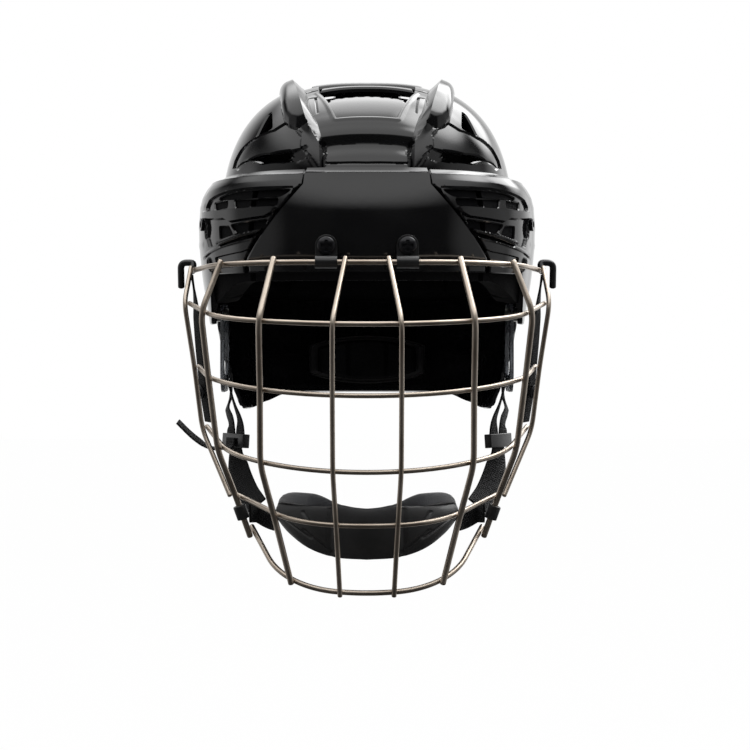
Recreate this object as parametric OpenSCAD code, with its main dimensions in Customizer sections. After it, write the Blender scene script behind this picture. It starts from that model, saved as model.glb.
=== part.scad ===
/* [Shell] */
// Front half depth of the belt, from the head centre line
belt_front = 133; // [128:0.5:138]
// Half width of the crown dome at its base
crown_half = 97.5; // [95:0.5:99]
// Height of the crown dome over its base
crown_rise = 112; // [108:0.5:116]
// Height of the dome base over the ear line
dome_base = 60; // [58:0.5:62]
// Wall of the moulded shells
shell_wall = 2.6; // [2.2:0.1:3]
// Height of the brim edge
brim_z = 42; // [40:0.5:44]
// Height of the ledge on top of the belt
ledge_z = 104; // [102:0.5:106]
// Height of the two crown fins
fin_rise = 7; // [4:0.5:8]
// Lower edge of the nape
nape_z = -38; // [-42:0.5:-34]

/* [Liner] */
// Thickness of the forehead pad
front_pad = 13; // [10:0.5:15]
// Thickness of the temple pads
side_pad = 17; // [12:0.5:19]
// Thickness of the crown and rear pads
crown_pad = 12; // [9:0.5:13]

/* [Cage] */
// Diameter of the thick wires
wire_thick = 3.8; // [3.4:0.1:4]
// Diameter of the thin wires
wire_thin = 3.1; // [2.8:0.1:3.3]
// Diameter of the top bar and the chin rim
wire_rim = 3.4; // [3:0.1:3.6]
// Radius of the bends in the uprights
upright_bend = 8; // [6:0.5:11]
// Diameter of the sleeves on the side hooks
sleeve_d = 4.4; // [4:0.1:5]

/* [Fasteners] */
// Spacing of the two cage clips on the brim
clip_spacing = 50; // [48:0.5:52]
// Width of one clip
clip_width = 13.6; // [12:0.2:14]
// Diameter of the clip screw heads
screw_head = 11.4; // [10:0.2:11.8]
// Thread diameter of the screws
thread_d = 4.6; // [4:0.1:5]

/* [Chin cup] */
// Half width of the chin cup
cup_half = 56.7; // [52:0.1:59]
// Wall of the chin cup
cup_wall = 5.5; // [4.5:0.5:6]
// Depth of its moulded channels
cup_channel = 1.2; // [0.6:0.1:1.4]

/* [Straps] */
// Width of the webbing
web_width = 15; // [12:0.5:16]
// Thickness of the webbing
web_thick = 1.5; // [1.2:0.1:1.8]

/* [Hidden] */

black = [0.05, 0.05, 0.055];
foam = [0.13, 0.13, 0.14];
metal = [0.62, 0.57, 0.52];
smoke = [0.55, 0.57, 0.6, 0.5];
gap = 0.3;
eps = 0.05;

head_y = 5;
back_seam = -5;
tongue_y = -22;
belt_n = 2.25;
dome_n = 2.8;
dome_in = 12;
dome_front = belt_front - dome_in;
dome_back = 126;
rear_wider = 7.5;
rear_half = crown_half + rear_wider;
rear_n = 2.5;
rear_drop = 1.5;
drop_depth = 180;
clip_reach = 9;
hinge_y = head_y - belt_front - clip_reach;
hinge_z = 47.7;
cage_wider = 15.7;
cage_half = crown_half + cage_wider;

dial_z = -3;

// ---- plain maths ----
function unit(v) = v / norm(v);
function mix(a, b, t) = a + (b - a) * t;
function clamp01(t) = min(1, max(0, t));
function smooth(t) = let (u = clamp01(t)) u * u * (3 - 2 * u);
function table(z, t) = lookup(z, t);
function mirror_x(v) = [-v[0], v[1], v[2]];
function tangents(p) = let (n = len(p))
  [for (i = [0:n - 1]) unit(p[min(n - 1, i + 1)] - p[max(0, i - 1)])];
function across(t) = cross(t, abs(t[2]) < 0.9 ? [0, 0, 1] : [0, 1, 0]);
function carry(t, u0) = [for (i = 0, u = unit(u0 - (u0 * t[0]) * t[0]); i < len(t);
  i = i + 1, u = i < len(t) ? unit(u - (u * t[i]) * t[i]) : u) u];
function round_path(p, r, k) = let (n = len(p)) [for (i = [0:n - 1])
  if (i == 0 || i == n - 1) p[i] else
  let (a = unit(p[i - 1] - p[i]), b = unit(p[i + 1] - p[i]),
    cut = min(r, 0.45 * norm(p[i - 1] - p[i]), 0.45 * norm(p[i + 1] - p[i])))
  for (j = [0:k]) let (s = j / k)
    p[i] + a * cut * (1 - s) * (1 - s) + b * cut * s * s];

// ---- swept and gridded solids ----
function ring_faces(n, m) = concat(
  [for (i = [0:n - 2]) for (k = [0:m - 1]) let (a = i * m + k, b = i * m + (k + 1) % m)
    each [[a, a + m, b + m], [a, b + m, b]]],
  [[for (k = [0:m - 1]) k], [for (k = [m - 1:-1:0]) (n - 1) * m + k]]);
module sweep(p, u0, section) {
  t = tangents(p);
  u = [for (i = [0:len(p) - 1]) let (w = is_list(u0[0]) ? u0[i] : u0) unit(w - (w * t[i]) * t[i])];
  polyhedron([for (i = [0:len(p) - 1]) let (v = cross(t[i], u[i])) for (q = section)
    p[i] + q[0] * u[i] + q[1] * v], ring_faces(len(p), len(section)), convexity = 6);
}
module tube(p, d, sides = 8) {
  t = tangents(p);
  r = d / 2 / sqrt(cos(180 / sides));
  sweep(p, carry(t, across(t[0])),
    [for (k = [0:sides - 1]) r * [cos(360 * k / sides), sin(360 * k / sides)]]);
}
function flat_section(w, h) = let (c = h * 0.35)
  [[w / 2, -h / 2 + c], [w / 2, h / 2 - c], [w / 2 - c, h / 2], [c - w / 2, h / 2],
   [-w / 2, h / 2 - c], [-w / 2, c - h / 2], [c - w / 2, -h / 2], [w / 2 - c, -h / 2]];

// a closed wall between two grids of points; open cells become windows,
// and with a pole the last column is one point
module wall_grid(outer, inner, open = [], pole = false) {
  ni = len(outer); nj = len(outer[0]);
  cells = (ni - 1) * (nj - 1);
  function id(i, j) = (pole && j == nj - 1 ? 0 : i) * nj + j;
  off = ni * nj;
  function kept(i, j) = i >= 0 && j >= 0 && i < ni - 1 && j < nj - 1
    && len(open) == 0 ? true
    : i >= 0 && j >= 0 && i < ni - 1 && j < nj - 1 && !open[i][j];
  function ok(i, j) = i >= 0 && j >= 0 && i < ni - 1 && j < nj - 1 && kept(i, j);
  function tri(a, b, c) = a == b || b == c || a == c ? [] : [[a, b, c]];
  function quad(a, b, c, d) = concat(tri(a, b, c), tri(a, c, d));
  faces = [for (i = [0:ni - 2]) for (j = [0:nj - 2]) if (ok(i, j))
    let (a = id(i, j), b = id(i + 1, j), c = id(i + 1, j + 1), d = id(i, j + 1))
    each concat(
      quad(a, d, c, b), quad(a + off, b + off, c + off, d + off),
      ok(i - 1, j) ? [] : quad(a, a + off, d + off, d),
      ok(i + 1, j) ? [] : quad(b, c, c + off, b + off),
      ok(i, j - 1) ? [] : quad(a, b, b + off, a + off),
      ok(i, j + 1) || (pole && j == nj - 2) ? [] : quad(d, d + off, c + off, c))];
  points = concat([for (g = outer) each g], [for (g = inner) each g]);
  polyhedron(points, faces, convexity = 8);
}

// ---- the helmet's surfaces ----
// belt: superellipse sections, half width by height
belt_half = [for (q = [[0, 5.5], [20, 8.5], [40, 11.8], [52, 13.1], [60, 13.8], [73, 14.2],
  [ledge_z - 19, 13.5], [ledge_z - 9, 11.5], [ledge_z - 4, 9.3], [ledge_z, 6.5]])
  [q[0], crown_half + q[1]]];
belt_nose = [for (q = [[0, -8], [42, -2], [58, 0], [ledge_z - 24, -3], [ledge_z, -11]])
  [q[0], belt_front + q[1]]];
function belt_r(phi, z, off = 0) = pow(
  pow(abs(sin(phi)) / (table(z, belt_half) - off), belt_n)
  + pow(abs(cos(phi)) / (table(z, belt_nose) - off), belt_n), -1 / belt_n);
function around(phi, r, z) = [r * sin(phi), head_y - r * cos(phi), z];
function belt(phi, z, off = 0) = around(phi, belt_r(phi, z, off), z);

crown_dims = [crown_half, dome_front, dome_back, crown_rise];
rear_out = 3;
rear_low = 2.5;
rear_dims = [rear_half, dome_front, dome_back + rear_out, crown_rise - rear_low];
function dome_value(p, s, n) = let (q = p - [0, head_y, dome_base])
  pow(pow(abs(q[0]) / s[0], belt_n) + pow(abs(q[1]) / (q[1] < 0 ? s[1] : s[2]), belt_n), n / belt_n)
  + pow(abs(q[2]) / (q[2] > 0 ? s[3] : drop_depth), n);
function shrink(s, off) = [s[0] - off, s[1] - off, s[2] - off, s[3] - off];
function crown_value(p, off) = dome_value(p, shrink(crown_dims, off), dome_n);
// the rear shell carries the belt's ledge round the back, follows the crown above it,
// and runs on as a tongue under the crown
rear_top_dims = [crown_half, dome_front, dome_back + rear_out, crown_rise - rear_low];
function rear_value(p, off) = let (w = smooth((p[1] - back_seam - 1) / 6),
    up = smooth((p[2] - ledge_z + 6) / 12))
  mix(dome_value(p, shrink(crown_dims, off + shell_wall + rear_drop), dome_n),
    mix(dome_value(p, shrink(rear_dims, off), rear_n),
      dome_value(p, shrink(rear_top_dims, off), dome_n), up), w);
function value(kind, p, off) = kind == 0 ? crown_value(p, off) : rear_value(p, off);
function cast(kind, o, d, off, lo = 20, hi = 230, n = 16) = let (m = (lo + hi) / 2)
  n == 0 ? m : value(kind, o + d * m, off) > 1
  ? cast(kind, o, d, off, lo, m, n - 1) : cast(kind, o, d, off, m, hi, n - 1);
function aim(phi, el) = [sin(phi) * cos(el), -cos(phi) * cos(el), sin(el)];

// relief of the crown: sunk centre panel between two raised fins
fin_x = 50;
fin_half = 9.5;
panel_drop = 8;
function relief(p) = let (x = abs(p[0]), y = p[1],
    along = smooth((y + 108) / 20) * smooth((p[2] - ledge_z - 5) / 8), fade = 1 - smooth((y + 52) / 26))
  (fin_rise * along * (1 - smooth((y + 25) / 20)) * pow(clamp01(1 - abs(x - fin_x) / fin_half), 0.7)
  - panel_drop * smooth((fin_x - 4 - x) / 12) * fade * smooth((y + 116) / 24) * smooth((p[2] - ledge_z - 4) / 8));
function crown_point(phi, el, off, shaped = 1) = let (o = [0, back_seam, dome_base],
    d = aim(phi, el), r = cast(0, o, d, off), p = o + d * r) p + d * shaped * relief(p);

// ---- shells ----
// the diagonal groove between forehead and side grille
groove_rise = 46;
function groove_phi(z) = mix(36.5, 19, clamp01((z - ledge_z + 7) / groove_rise + 1));
side_end = 85.4;
function side_foot(phi) = brim_z - 32 * smooth((phi - 56) / 16);
ledge_in = 0.5;
function crown_r(phi, z) = pow(1 - pow((z - dome_base) / crown_rise, dome_n), 1 / dome_n)
  * pow(pow(abs(sin(phi)) / crown_half, belt_n) + pow(abs(cos(phi)) / dome_front, belt_n), -1 / belt_n);
// stations up one belt section, from its foot to the ledge
function station_z(foot, k, n) = mix(foot, ledge_z, k / n);

module front_shell() {
  n = 10; m = 18;
  phis = [for (i = [0:m]) -1 + 2 * i / m];
  function phi_at(u, z) = u * groove_phi(z);
  function col(u, inn) = let (z = [for (k = [0:n]) station_z(brim_z, k, n)]) concat(
    [for (k = [0:n]) let (ph = phi_at(u, z[k])) inn
      ? around(ph, belt_r(ph, z[k], shell_wall) - (k == n ? 1.2 : 0), z[k] - (k == n ? 2 : 0))
      : belt(ph, z[k])],
    [let (zz = ledge_z + (inn ? 1.6 : 4), ph = phi_at(u, ledge_z))
      around(ph, crown_r(ph, zz) + ledge_in, zz)]);
  color(black) difference() {
    wall_grid([for (u = phis) col(u, false)], [for (u = phis) col(u, true)]);
    for (s = [-1, 1]) along_y([s * clip_spacing / 2, clip_back - 4, clip_z], thread_d / 2 + screw_play, 14, 32);
  }
}

// side grille: two rows of windows between rails, by depth under the ledge
rails = [46, 38, 29, 20, 13.5, 10, 5, 0];
module side_grille(side) {
  m = 18;
  zs = [0, 0.18, 0.36, 0.46, 0.5, 0.6, 0.66, 0.7, 0.78, 0.86, 0.92, 1];
  nz = len(zs) - 1;
  function zz(phi, k) = let (foot = side_foot(phi)) k <= 3
    ? mix(foot, ledge_z - rails[0], (0.5 + 0.44 * smooth((phi - 40) / 40)) * zs[k] / zs[3])
    : ledge_z - rails[k - 4];
  function ph(u, z) = mix(groove_phi(z) + 1.2, side_end, u);
  us = [for (i = [0:m]) i / m];
  function col(u, inn) = concat(
    [for (k = [0:nz]) let (p0 = ph(u, 70), z = zz(p0, k), p = ph(u, z)) inn
      ? around(p, belt_r(p, z, shell_wall) - (k == nz ? 1.2 : 0), z - (k == nz ? 2 : 0))
      : belt(p, z)],
    [let (z = ledge_z + (inn ? 1.6 : 4), p = ph(u, ledge_z)) around(p, crown_r(p, z) + ledge_in, z)]);
  // windows: lower row k 5, upper row k 7
  open = [for (i = [0:m - 1]) [for (k = [0:nz])
    (k == 5 && i >= 2 && i <= 10 && i != 6) || (k == 7 && i >= 2 && i <= 10 && i != 6)]];
  s = side;
  outer = [for (i = [0:m]) [for (p = col(us[i], false)) [s * p[0], p[1], p[2]]]];
  inner = [for (i = [0:m]) [for (p = col(us[i], true)) [s * p[0], p[1], p[2]]]];
  if (s > 0) color(black) wall_grid(outer, inner, open);
  else color(black) wall_grid(
    [for (i = [m:-1:0]) outer[i]], [for (i = [m:-1:0]) inner[i]],
    [for (i = [m - 1:-1:0]) open[i]]);
}

// crown: from under the ledge to the seam, pole on the seam; its rows follow the fins
crown_foot = ledge_z - 6.5;
function crown_h(x, y) = let (q = y - head_y) dome_base + crown_rise * pow(max(0, 1 - pow(
  pow(abs(x) / crown_half, belt_n) + pow(abs(q) / dome_front, belt_n), dome_n / belt_n)), 1 / dome_n);
function el_at(phi, r) = atan2(crown_h(r * sin(phi), back_seam - r * cos(phi)) - dome_base, r);
function crown_els(phi) = let (s = max(0.02, abs(sin(phi))),
    f = crown_r(phi, crown_foot) - 9.5 * cos(phi), e0 = atan2(crown_foot - dome_base, f),
    ea = el_at(phi, min((fin_x + fin_half) / s, 0.95 * f)),
    eb = el_at(phi, min(fin_x / s, 0.88 * f)), ec = el_at(phi, min((fin_x - fin_half) / s, 0.78 * f)))
  concat([for (k = [0:4]) mix(e0, ea, k / 5)], [ea, (ea + eb) / 2, eb, (eb + ec) / 2],
    [for (k = [0:6]) mix(ec, 90, k / 6)]);
module crown_shell() {
  m = 36;
  phis = [for (i = [0:m]) -90 + 180 * i / m];
  outer = [for (p = phis) [for (e = crown_els(p)) crown_point(p, e, 0)]];
  inner = [for (p = phis) [for (e = crown_els(p)) crown_point(p, e, shell_wall)]];
  n = len(outer[0]) - 1;
  // scoop vents, triangular vents and the slot behind the sunk panel
  open = [for (i = [0:m - 1]) let (a = abs(phis[i] + 90 / m)) [for (j = [0:n - 1])
    (a > 25 && a < 50 && j >= 2 && j <= 3) || (a > 55 && a < 75 && j == 3)
    || (a < 35 && j == 12)]];
  color(black) wall_grid(outer, inner, open, true);
}

function rear_point(phi, el, off) = let (o = [0, tongue_y, dome_base], d = aim(phi, el))
  o + d * cast(1, o, d, off);
// lower edge of the rear shell, by depth: over the ear, down behind it, nape
rear_foot = [[-22, 28], [4, 28], [18, 24], [30, 8], [38, -12], [44, -33], [51, -46], [62, -48], [84, -44], [106, nape_z],
  [140, nape_z]];
function foot_point(phi, off, z, n = 4) = n == 0 ? z
  : let (k = (z - dome_base), rr = 104, e = atan2(k, rr), p = rear_point(phi, e, off))
    foot_point(phi, off, table(p[1], rear_foot), n - 1);
// two rows bound the window for the adjuster's shaft
shaft_half = 6.5;
function rear_y(z) = head_y + (dome_back + rear_out) * pow(1 - pow((dome_base - z) / drop_depth, rear_n), 1 / rear_n);
function row_el(z) = atan2(z - dome_base, rear_y(z) - tongue_y);
module rear_shell() {
  m = 31; n = 14;
  phis = [for (i = [0:m]) 90 + 180 * i / m];
  function foot_el(phi) = let (z = foot_point(phi, 0, 0),
      r = norm([rear_point(phi, 0, 0)[0], rear_point(phi, 0, 0)[1] - tongue_y]))
    atan2(z - dome_base, r * 0.97);
  function el(phi, j) = let (e = foot_el(phi), a = max(e + 2, row_el(dial_z - shaft_half)),
      b = max(a + 2, row_el(dial_z + shaft_half)))
    j < 3 ? [e, a, b][j] : mix(b, 90, pow((j - 2) / (n - 2), 0.95));
  outer = [for (p = phis) [for (j = [0:n]) rear_point(p, el(p, j), 0)]];
  inner = [for (p = phis) [for (j = [0:n]) rear_point(p, el(p, j), shell_wall)]];
  function vent(c, j) = let (x = abs(c[0]), y = c[1], z = c[2])
    (x < 4 && y > 100 && j == 1)
    || (x > 22 && x < 52 && y > 60 && z > 84 && z < 104)
    || (x > 20 && x < 34 && z > 140 && y > 25 && y < 60);
  open = [for (i = [0:m - 1]) [for (j = [0:n - 1])
    let (c = (outer[i][j] + outer[i + 1][j + 1] + outer[i + 1][j] + outer[i][j + 1]) / 4)
    j > 0 && j < n - 2 && vent(c, j)]];
  color(black) wall_grid(outer, inner, open, true);
}

// ---- liner pads: crowned blocks between two offsets of the shells ----
pad_play = shell_wall + 0.6;
nut_play = 2.2;
function swell(u, v) = let (e = min(min(u, 1 - u), min(v, 1 - v) * 1.3)) smooth(e / 0.16);
front_foot = 37;
side_foot_z = 24;
function pad_foot(phi) = mix(front_foot, side_foot_z, smooth((abs(phi) - 38) / 26));
module belt_pad(phi0, phi1, z1, thick, m, n, side = 1, play = pad_play) {
  function pt(i, j, inn) = let (u = i / m, v = j / n, p = mix(phi0, phi1, u), z = mix(pad_foot(p), z1, v),
      off = play + (inn ? thick * mix(0.55, 1, swell(u, v)) : 0), b = belt(p, z, off))
    [side * b[0], b[1], b[2]];
  outer = [for (i = [0:m]) [for (j = [0:n]) pt(i, j, false)]];
  inner = [for (i = [0:m]) [for (j = [0:n]) pt(i, j, true)]];
  if (side > 0) wall_grid(outer, inner);
  else wall_grid([for (i = [m:-1:0]) outer[i]], [for (i = [m:-1:0]) inner[i]]);
}
module liner_front() color(foam) belt_pad(-35, 35, 95, front_pad, 18, 8, 1,
  shell_wall + nut_play);
module liner_side(side) color(foam) belt_pad(36.5, 74, 95, side_pad, 12, 8, side);
module liner_crown() {
  m = 20; n = 8;
  function pt(i, j, inn) = let (u = i / m, v = j / n, p = mix(-84, 84, u),
      e = mix(36, 76, v), off = shell_wall + 8.4 + (inn ? crown_pad * mix(0.6, 1, swell(u, v)) : 0))
    crown_point(p, e, off, 0);
  color(foam) wall_grid([for (i = [0:m]) [for (j = [0:n]) pt(i, j, false)]],
    [for (i = [0:m]) [for (j = [0:n]) pt(i, j, true)]]);
}
module liner_rear() {
  m = 20; n = 9;
  function pt(i, j, inn) = let (u = i / m, v = j / n, p = mix(122, 238, u),
      e = mix(-12, 52, v), ledge_play = 2.4 * (1 - smooth(abs(e - 21) / 14)),
      off = shell_wall + 1.1 + ledge_play + (inn ? crown_pad * mix(0.6, 1, swell(u, v)) - ledge_play : 0))
    rear_point(p, e, off);
  color(foam) wall_grid([for (i = [0:m]) [for (j = [0:n]) pt(i, j, false)]],
    [for (i = [0:m]) [for (j = [0:n]) pt(i, j, true)]]);
}

// ---- occipital adjuster ----
dial_r = 14;
cradle_back = dome_back - 10;
module occipital_cradle() {
  m = 16; n = 3;
  function pt(i, j, inn) = let (a = mix(-42, 42, i / m), v = j / n,
      h = mix(17, 10, pow(abs(a) / 42, 2)), r = 62 - (inn ? 2.6 : 0))
    [r * sin(a), cradle_back - 62 + r * cos(a), -14 + h * (2 * v - 1)];
  color(black) wall_grid([for (i = [m:-1:0]) [for (j = [0:n]) pt(i, j, false)]],
    [for (i = [m:-1:0]) [for (j = [0:n]) pt(i, j, true)]]);
}
module occipital_pad() {
  m = 16; n = 5;
  function pt(i, j, inn) = let (u = i / m, v = j / n, a = mix(-36, 36, u),
      h = mix(14, 8, pow(abs(a) / 36, 2)), r = 62 - 2.6 - 0.3 - (inn ? 7 * mix(0.55, 1, swell(u, v)) : 0))
    [r * sin(a), cradle_back - 62 + r * cos(a), -14 + h * (2 * v - 1)];
  color(foam) wall_grid([for (i = [m:-1:0]) [for (j = [0:n]) pt(i, j, false)]],
    [for (i = [m:-1:0]) [for (j = [0:n]) pt(i, j, true)]]);
}
module along_y(p, r, h, fn = 48) translate(p) rotate([-90, 0, 0]) cylinder(r = r, h = h, $fn = fn);
// the dial sits square on the shell's slope
dial_tilt = 9;
dial_out = [0, cos(dial_tilt), -sin(dial_tilt)];
dial_p = [0, rear_y(dial_z), dial_z] + dial_out * 0.7;
module occipital_dial() color(black) translate(dial_p) rotate([-90 - dial_tilt, 0, 0]) {
  cylinder(r = dial_r, h = 7, $fn = 64);
  translate([0, 0, -14.4]) cylinder(r = 3.6, h = 15, $fn = 32);
}

// ---- adjusting levers on the rear shell's sides ----
lever_y = 30;
lever_z = 78;
lever_gap = 0.54;
function rear_x(y, z) = rear_half * pow(
  pow(1 - pow((z - dome_base) / rear_dims[3], rear_n), belt_n / rear_n)
  - pow((y - head_y) / rear_dims[2], belt_n), 1 / belt_n);
lever_p = [rear_x(lever_y, lever_z) + lever_gap, lever_y, lever_z];
lever_turn = 10;
pin_x = 2.9;
pin_r = 1.1;
module lever_at(side) mirror([side < 0 ? 1 : 0, 0, 0]) translate(lever_p) rotate([0, 0, lever_turn]) children();
module lever(side) color(black) lever_at(side) difference() {
  union() {
    translate([pin_x, 0, -6]) cylinder(r = 2.4, h = 12, $fn = 32);
    translate([pin_x - 0.4, 0, -6]) cube([2.8, 23, 12]);
  }
  translate([pin_x, 0, -8]) cylinder(r = pin_r + 0.25, h = 16, $fn = 32);
}
module lever_pivots() color(black) for (s = [-1, 1]) lever_at(s) {
  for (z = [-8.4, 6.4]) translate([0.5, -3, z]) cube([4.6, 6, 2]);
  translate([pin_x, 0, -8]) cylinder(r = pin_r, h = 16, $fn = 24);
}

// ---- ear guards ----
guard_in = 3.9;
guard_x = crown_half - guard_in;
guard_t = 2.2;
module round_plate(w, h, r) {
  square([w - 2 * r, h], center = true);
  square([w, h - 2 * r], center = true);
  for (x = [-1, 1], y = [-1, 1]) translate([x * (w / 2 - r), y * (h / 2 - r)]) circle(r = r, $fn = 32);
}
module side_plate(side, x, t) translate([side * x, 0, 0]) rotate([90, 0, 90])
  translate([0, 0, side > 0 ? 0 : -t]) linear_extrude(height = t) children();
guard_w = 66;
guard_h = 58;
guard_cy = -4;
guard_cz = side_foot_z - gap - guard_h / 2;
guard_screw_y = [-30, -12];
guard_screw_z = guard_cz + guard_h / 2 - 7;
module ear_guard(side) color(smoke) {
  side_plate(side, guard_x, guard_t) difference() {
    translate([guard_cy, guard_cz]) round_plate(guard_w, guard_h, 16);
    translate([guard_cy + 1, guard_cz - 4]) round_plate(guard_w - 22, guard_h - 30, 10);
    for (y = guard_screw_y) translate([y, guard_screw_z]) circle(d = thread_d, $fn = 24);
  }
}
// each screw passes the guard and a spacer to the inside of the shell
function wall_in(y, z) = (table(z, belt_half) - shell_wall) * pow(1 - pow(abs(y - head_y)
  / (table(z, belt_nose) - shell_wall), belt_n), 1 / belt_n);
module ear_guard_screws() color(metal) for (s = [-1, 1], y = guard_screw_y)
  translate([s * (guard_x - 0.05), y, guard_screw_z]) rotate([0, s * 90, 0]) {
    translate([0, 0, -2]) cylinder(d = 8, h = 2, $fn = 32);
    translate([0, 0, -1]) cylinder(d = thread_d - 0.3, h = wall_in(y, guard_screw_z) - guard_x + 0.2, $fn = 24);
    translate([0, 0, guard_t + 0.1]) cylinder(d = 9,
      h = wall_in(y - 4.5, guard_screw_z) - guard_x - guard_t - 0.6, $fn = 32);
  }

// ---- brim clips that hold the cage ----
clip_z = 58;
clip_back = head_y - belt_front + 0.4;
clip_plate = 2.2;
loop_in = wire_rim / 2 + 0.35;
loop_out = loop_in + 1.8;
module along_x(x0, x1, y, z, r, fn = 40) translate([x0, y, z]) rotate([0, 90, 0])
  cylinder(r = r, h = x1 - x0, $fn = fn);
module clip(side) color(black) translate([side * clip_spacing / 2, 0, 0]) {
  w = clip_width;
  difference() {
    union() {
      translate([-w / 2, clip_back - clip_plate, hinge_z - 1]) cube([w, clip_plate, clip_z - hinge_z + 1]);
      along_y([0, clip_back - clip_plate, clip_z], w / 2, clip_plate, 40);
      along_x(-w / 2, w / 2, hinge_y, hinge_z, loop_out);
      translate([-w / 2, hinge_y, hinge_z + loop_in]) cube([w, clip_back - hinge_y, loop_out - loop_in]);
    }
    along_x(-w, w, hinge_y, hinge_z, loop_in);
    along_y([0, clip_back - 9, clip_z], thread_d / 2 + 0.1, 20, 32);
  }
}
screw_play = 0.15;
module clip_screws() color(black) for (s = [-1, 1]) translate([s * clip_spacing / 2, 0, 0]) {
  along_y([0, clip_back - clip_plate - eps - 1.2, clip_z], screw_head / 2, 1.2, 40);
  intersection() {
    along_y([0, clip_back - clip_plate - eps - 4, clip_z], screw_head / 2, 4, 40);
    translate([0, clip_back - clip_plate - eps + 3.6, clip_z]) sphere(r = 7, $fn = 48);
  }
  along_y([0, clip_back - clip_plate - 1, clip_z], thread_d / 2, 9, 32);
}
clip_phi = 10.8;
module clip_nuts() color(metal) for (s = [-1, 1]) {
  q = belt(clip_phi, clip_z, shell_wall + 0.9);
  translate([s * clip_spacing / 2, q[1], clip_z]) rotate([0, 0, s * belt_normal(clip_phi, clip_z)])
    difference() {
      along_y([0, 0, 0], 5, 1.1, 40);
      along_y([0, -2, 0], thread_d / 2 + screw_play, 6, 32);
    }
}

// ---- visor thread inserts at the temples ----
visor_phi = 66;
visor_z = 75;
visor_hole = 2.1;
function belt_normal(phi, z) = let (p = belt(phi, z)) atan2(
  pow(abs(p[0]), belt_n - 1) / pow(table(z, belt_half), belt_n),
  pow(abs(p[1] - head_y), belt_n - 1) / pow(table(z, belt_nose), belt_n));
module visor_nut(side) color(metal) {
  p = belt(visor_phi, visor_z);
  translate([side * p[0], p[1], p[2]]) rotate([0, 0, side * belt_normal(visor_phi, visor_z)])
    rotate([90, 0, 0]) translate([0, 0, 0.2]) difference() {
      cylinder(r = 4.2, h = 1.8, $fn = 32);
      translate([0, 0, -1]) cylinder(r = visor_hole, h = 4, $fn = 32);
    }
}

// ---- cage: planar bars of two arcs and a straight, each tilted about X ----
// [forward of the hinge, height, tilt, narrower than the top bar, to angle 1, radius 2, to angle 2, straight]
bar_rows = [
  [0, hinge_z, -1.5, 0, 1, 70, 75, 46],
  [34, 9.6, 7.6, -0.8, 29.2, 62, 74, 53],
  [28, -33.5, 9.3, 5.1, 59.5, 61, 77.4, 33],
  [22, -79.8, 13.6, 10, 46.1, 67, 74.6, 45],
  [15, -112.5, 11.7, 27.4, 9.3, 55, 59.5, 58],
  [1, -154.6, 31.7, 39.8, 8.6, 53, 70.3, 36]];
// the first radius follows from the cage's width
bars = [for (b = bar_rows) let (r = (cage_half - b[3] - b[5] * (sin(b[6]) - sin(b[4]))
  - b[7] * cos(b[6])) / sin(b[4])) [hinge_y - b[0], b[1], b[2], r, b[4], b[5], b[6], b[7]]];
function bar_x1(b) = b[3] * sin(b[4]);
function bar_x2(b) = bar_x1(b) + b[5] * (sin(b[6]) - sin(b[4]));
function bar_end(b) = bar_x2(b) + b[7] * cos(b[6]);
function heading(b, x) = x < bar_x1(b) ? asin(x / b[3])
  : x < bar_x2(b) ? asin((x - bar_x1(b)) / b[5] + sin(b[4])) : b[6];
function run(b, x) = let (w1 = b[3] * (1 - cos(b[4])), w2 = w1 + b[5] * (cos(b[4]) - cos(b[6])),
    t = heading(b, x))
  x < bar_x1(b) ? b[3] * (1 - cos(t))
  : x < bar_x2(b) ? w1 + b[5] * (cos(b[4]) - cos(t)) : w2 + (x - bar_x2(b)) * tan(b[6]);
function bar_at(b, x) = let (w = run(b, x)) [x, b[0] + w * cos(b[2]), b[1] + w * sin(b[2])];
function outward(b, x) = let (t = heading(b, x)) [sin(t), -cos(t) * cos(b[2]), -cos(t) * sin(b[2])];
function half_bar(b, x_end) = concat(
  [for (k = [0:2]) bar_at(b, b[3] * sin(b[4] * k / 2.001))],
  [for (k = [1:7]) bar_at(b, bar_x1(b) + b[5] * (sin(mix(b[4], b[6], k / 7)) - sin(b[4])))],
  x_end > bar_x2(b) + 1 ? [bar_at(b, x_end)] : []);
function whole_bar(b, x_end) = let (h = half_bar(b, x_end), n = len(h))
  concat([for (k = [n - 1:-1:1]) mirror_x(h[k])], h);
module bar(k, d) tube(whole_bar(bars[k], bar_end(bars[k])), d, 8);
module cage_top_bar() color(metal) bar(0, wire_rim);
module cage_brow_bar() color(metal) bar(1, wire_thin);
module cage_eye_bar() color(metal) bar(2, wire_thin);
module cage_nose_bar() color(metal) bar(3, wire_thin);
module cage_mouth_bar() color(metal) bar(4, wire_thin);
module cage_chin_rim() color(metal) bar(5, wire_rim);

// uprights lie on the outside of the bars and are bent so that each bend's middle still touches
bar_d = [wire_rim, wire_thin, wire_thin, wire_thin, wire_thin, wire_rim];
touch = 0.2;
function tangent(b, x) = let (t = heading(b, x)) [cos(t), sin(t) * cos(b[2]), sin(t) * sin(b[2])];
function on_bar(k, x, d, dir) = let (b = bars[k], n = unit(cross(tangent(b, x), dir)),
    o = n * outward(b, x) > 0 ? n : -n) bar_at(b, x) + o * ((d + bar_d[k]) / 2 + touch);
function upright(xs, d, r, over) = let (n = len(xs),
    c = [for (q = xs) bar_at(bars[q[0]], q[1])], t = tangents(c),
    p = [for (k = [0:n - 1]) on_bar(xs[k][0], xs[k][1], d, t[k])],
    bent = [for (k = [1:n - 2]) let (a = unit(p[k - 1] - p[k]), b = unit(p[k + 1] - p[k])) p[k] - (a + b) * r / 4],
    top = p[0] + unit(p[0] - bent[0]) * 1.4, last = p[n - 1] + unit(p[n - 1] - bent[n - 3]) * over)
  round_path(concat([top], bent, [last]), r, 3);
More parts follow.
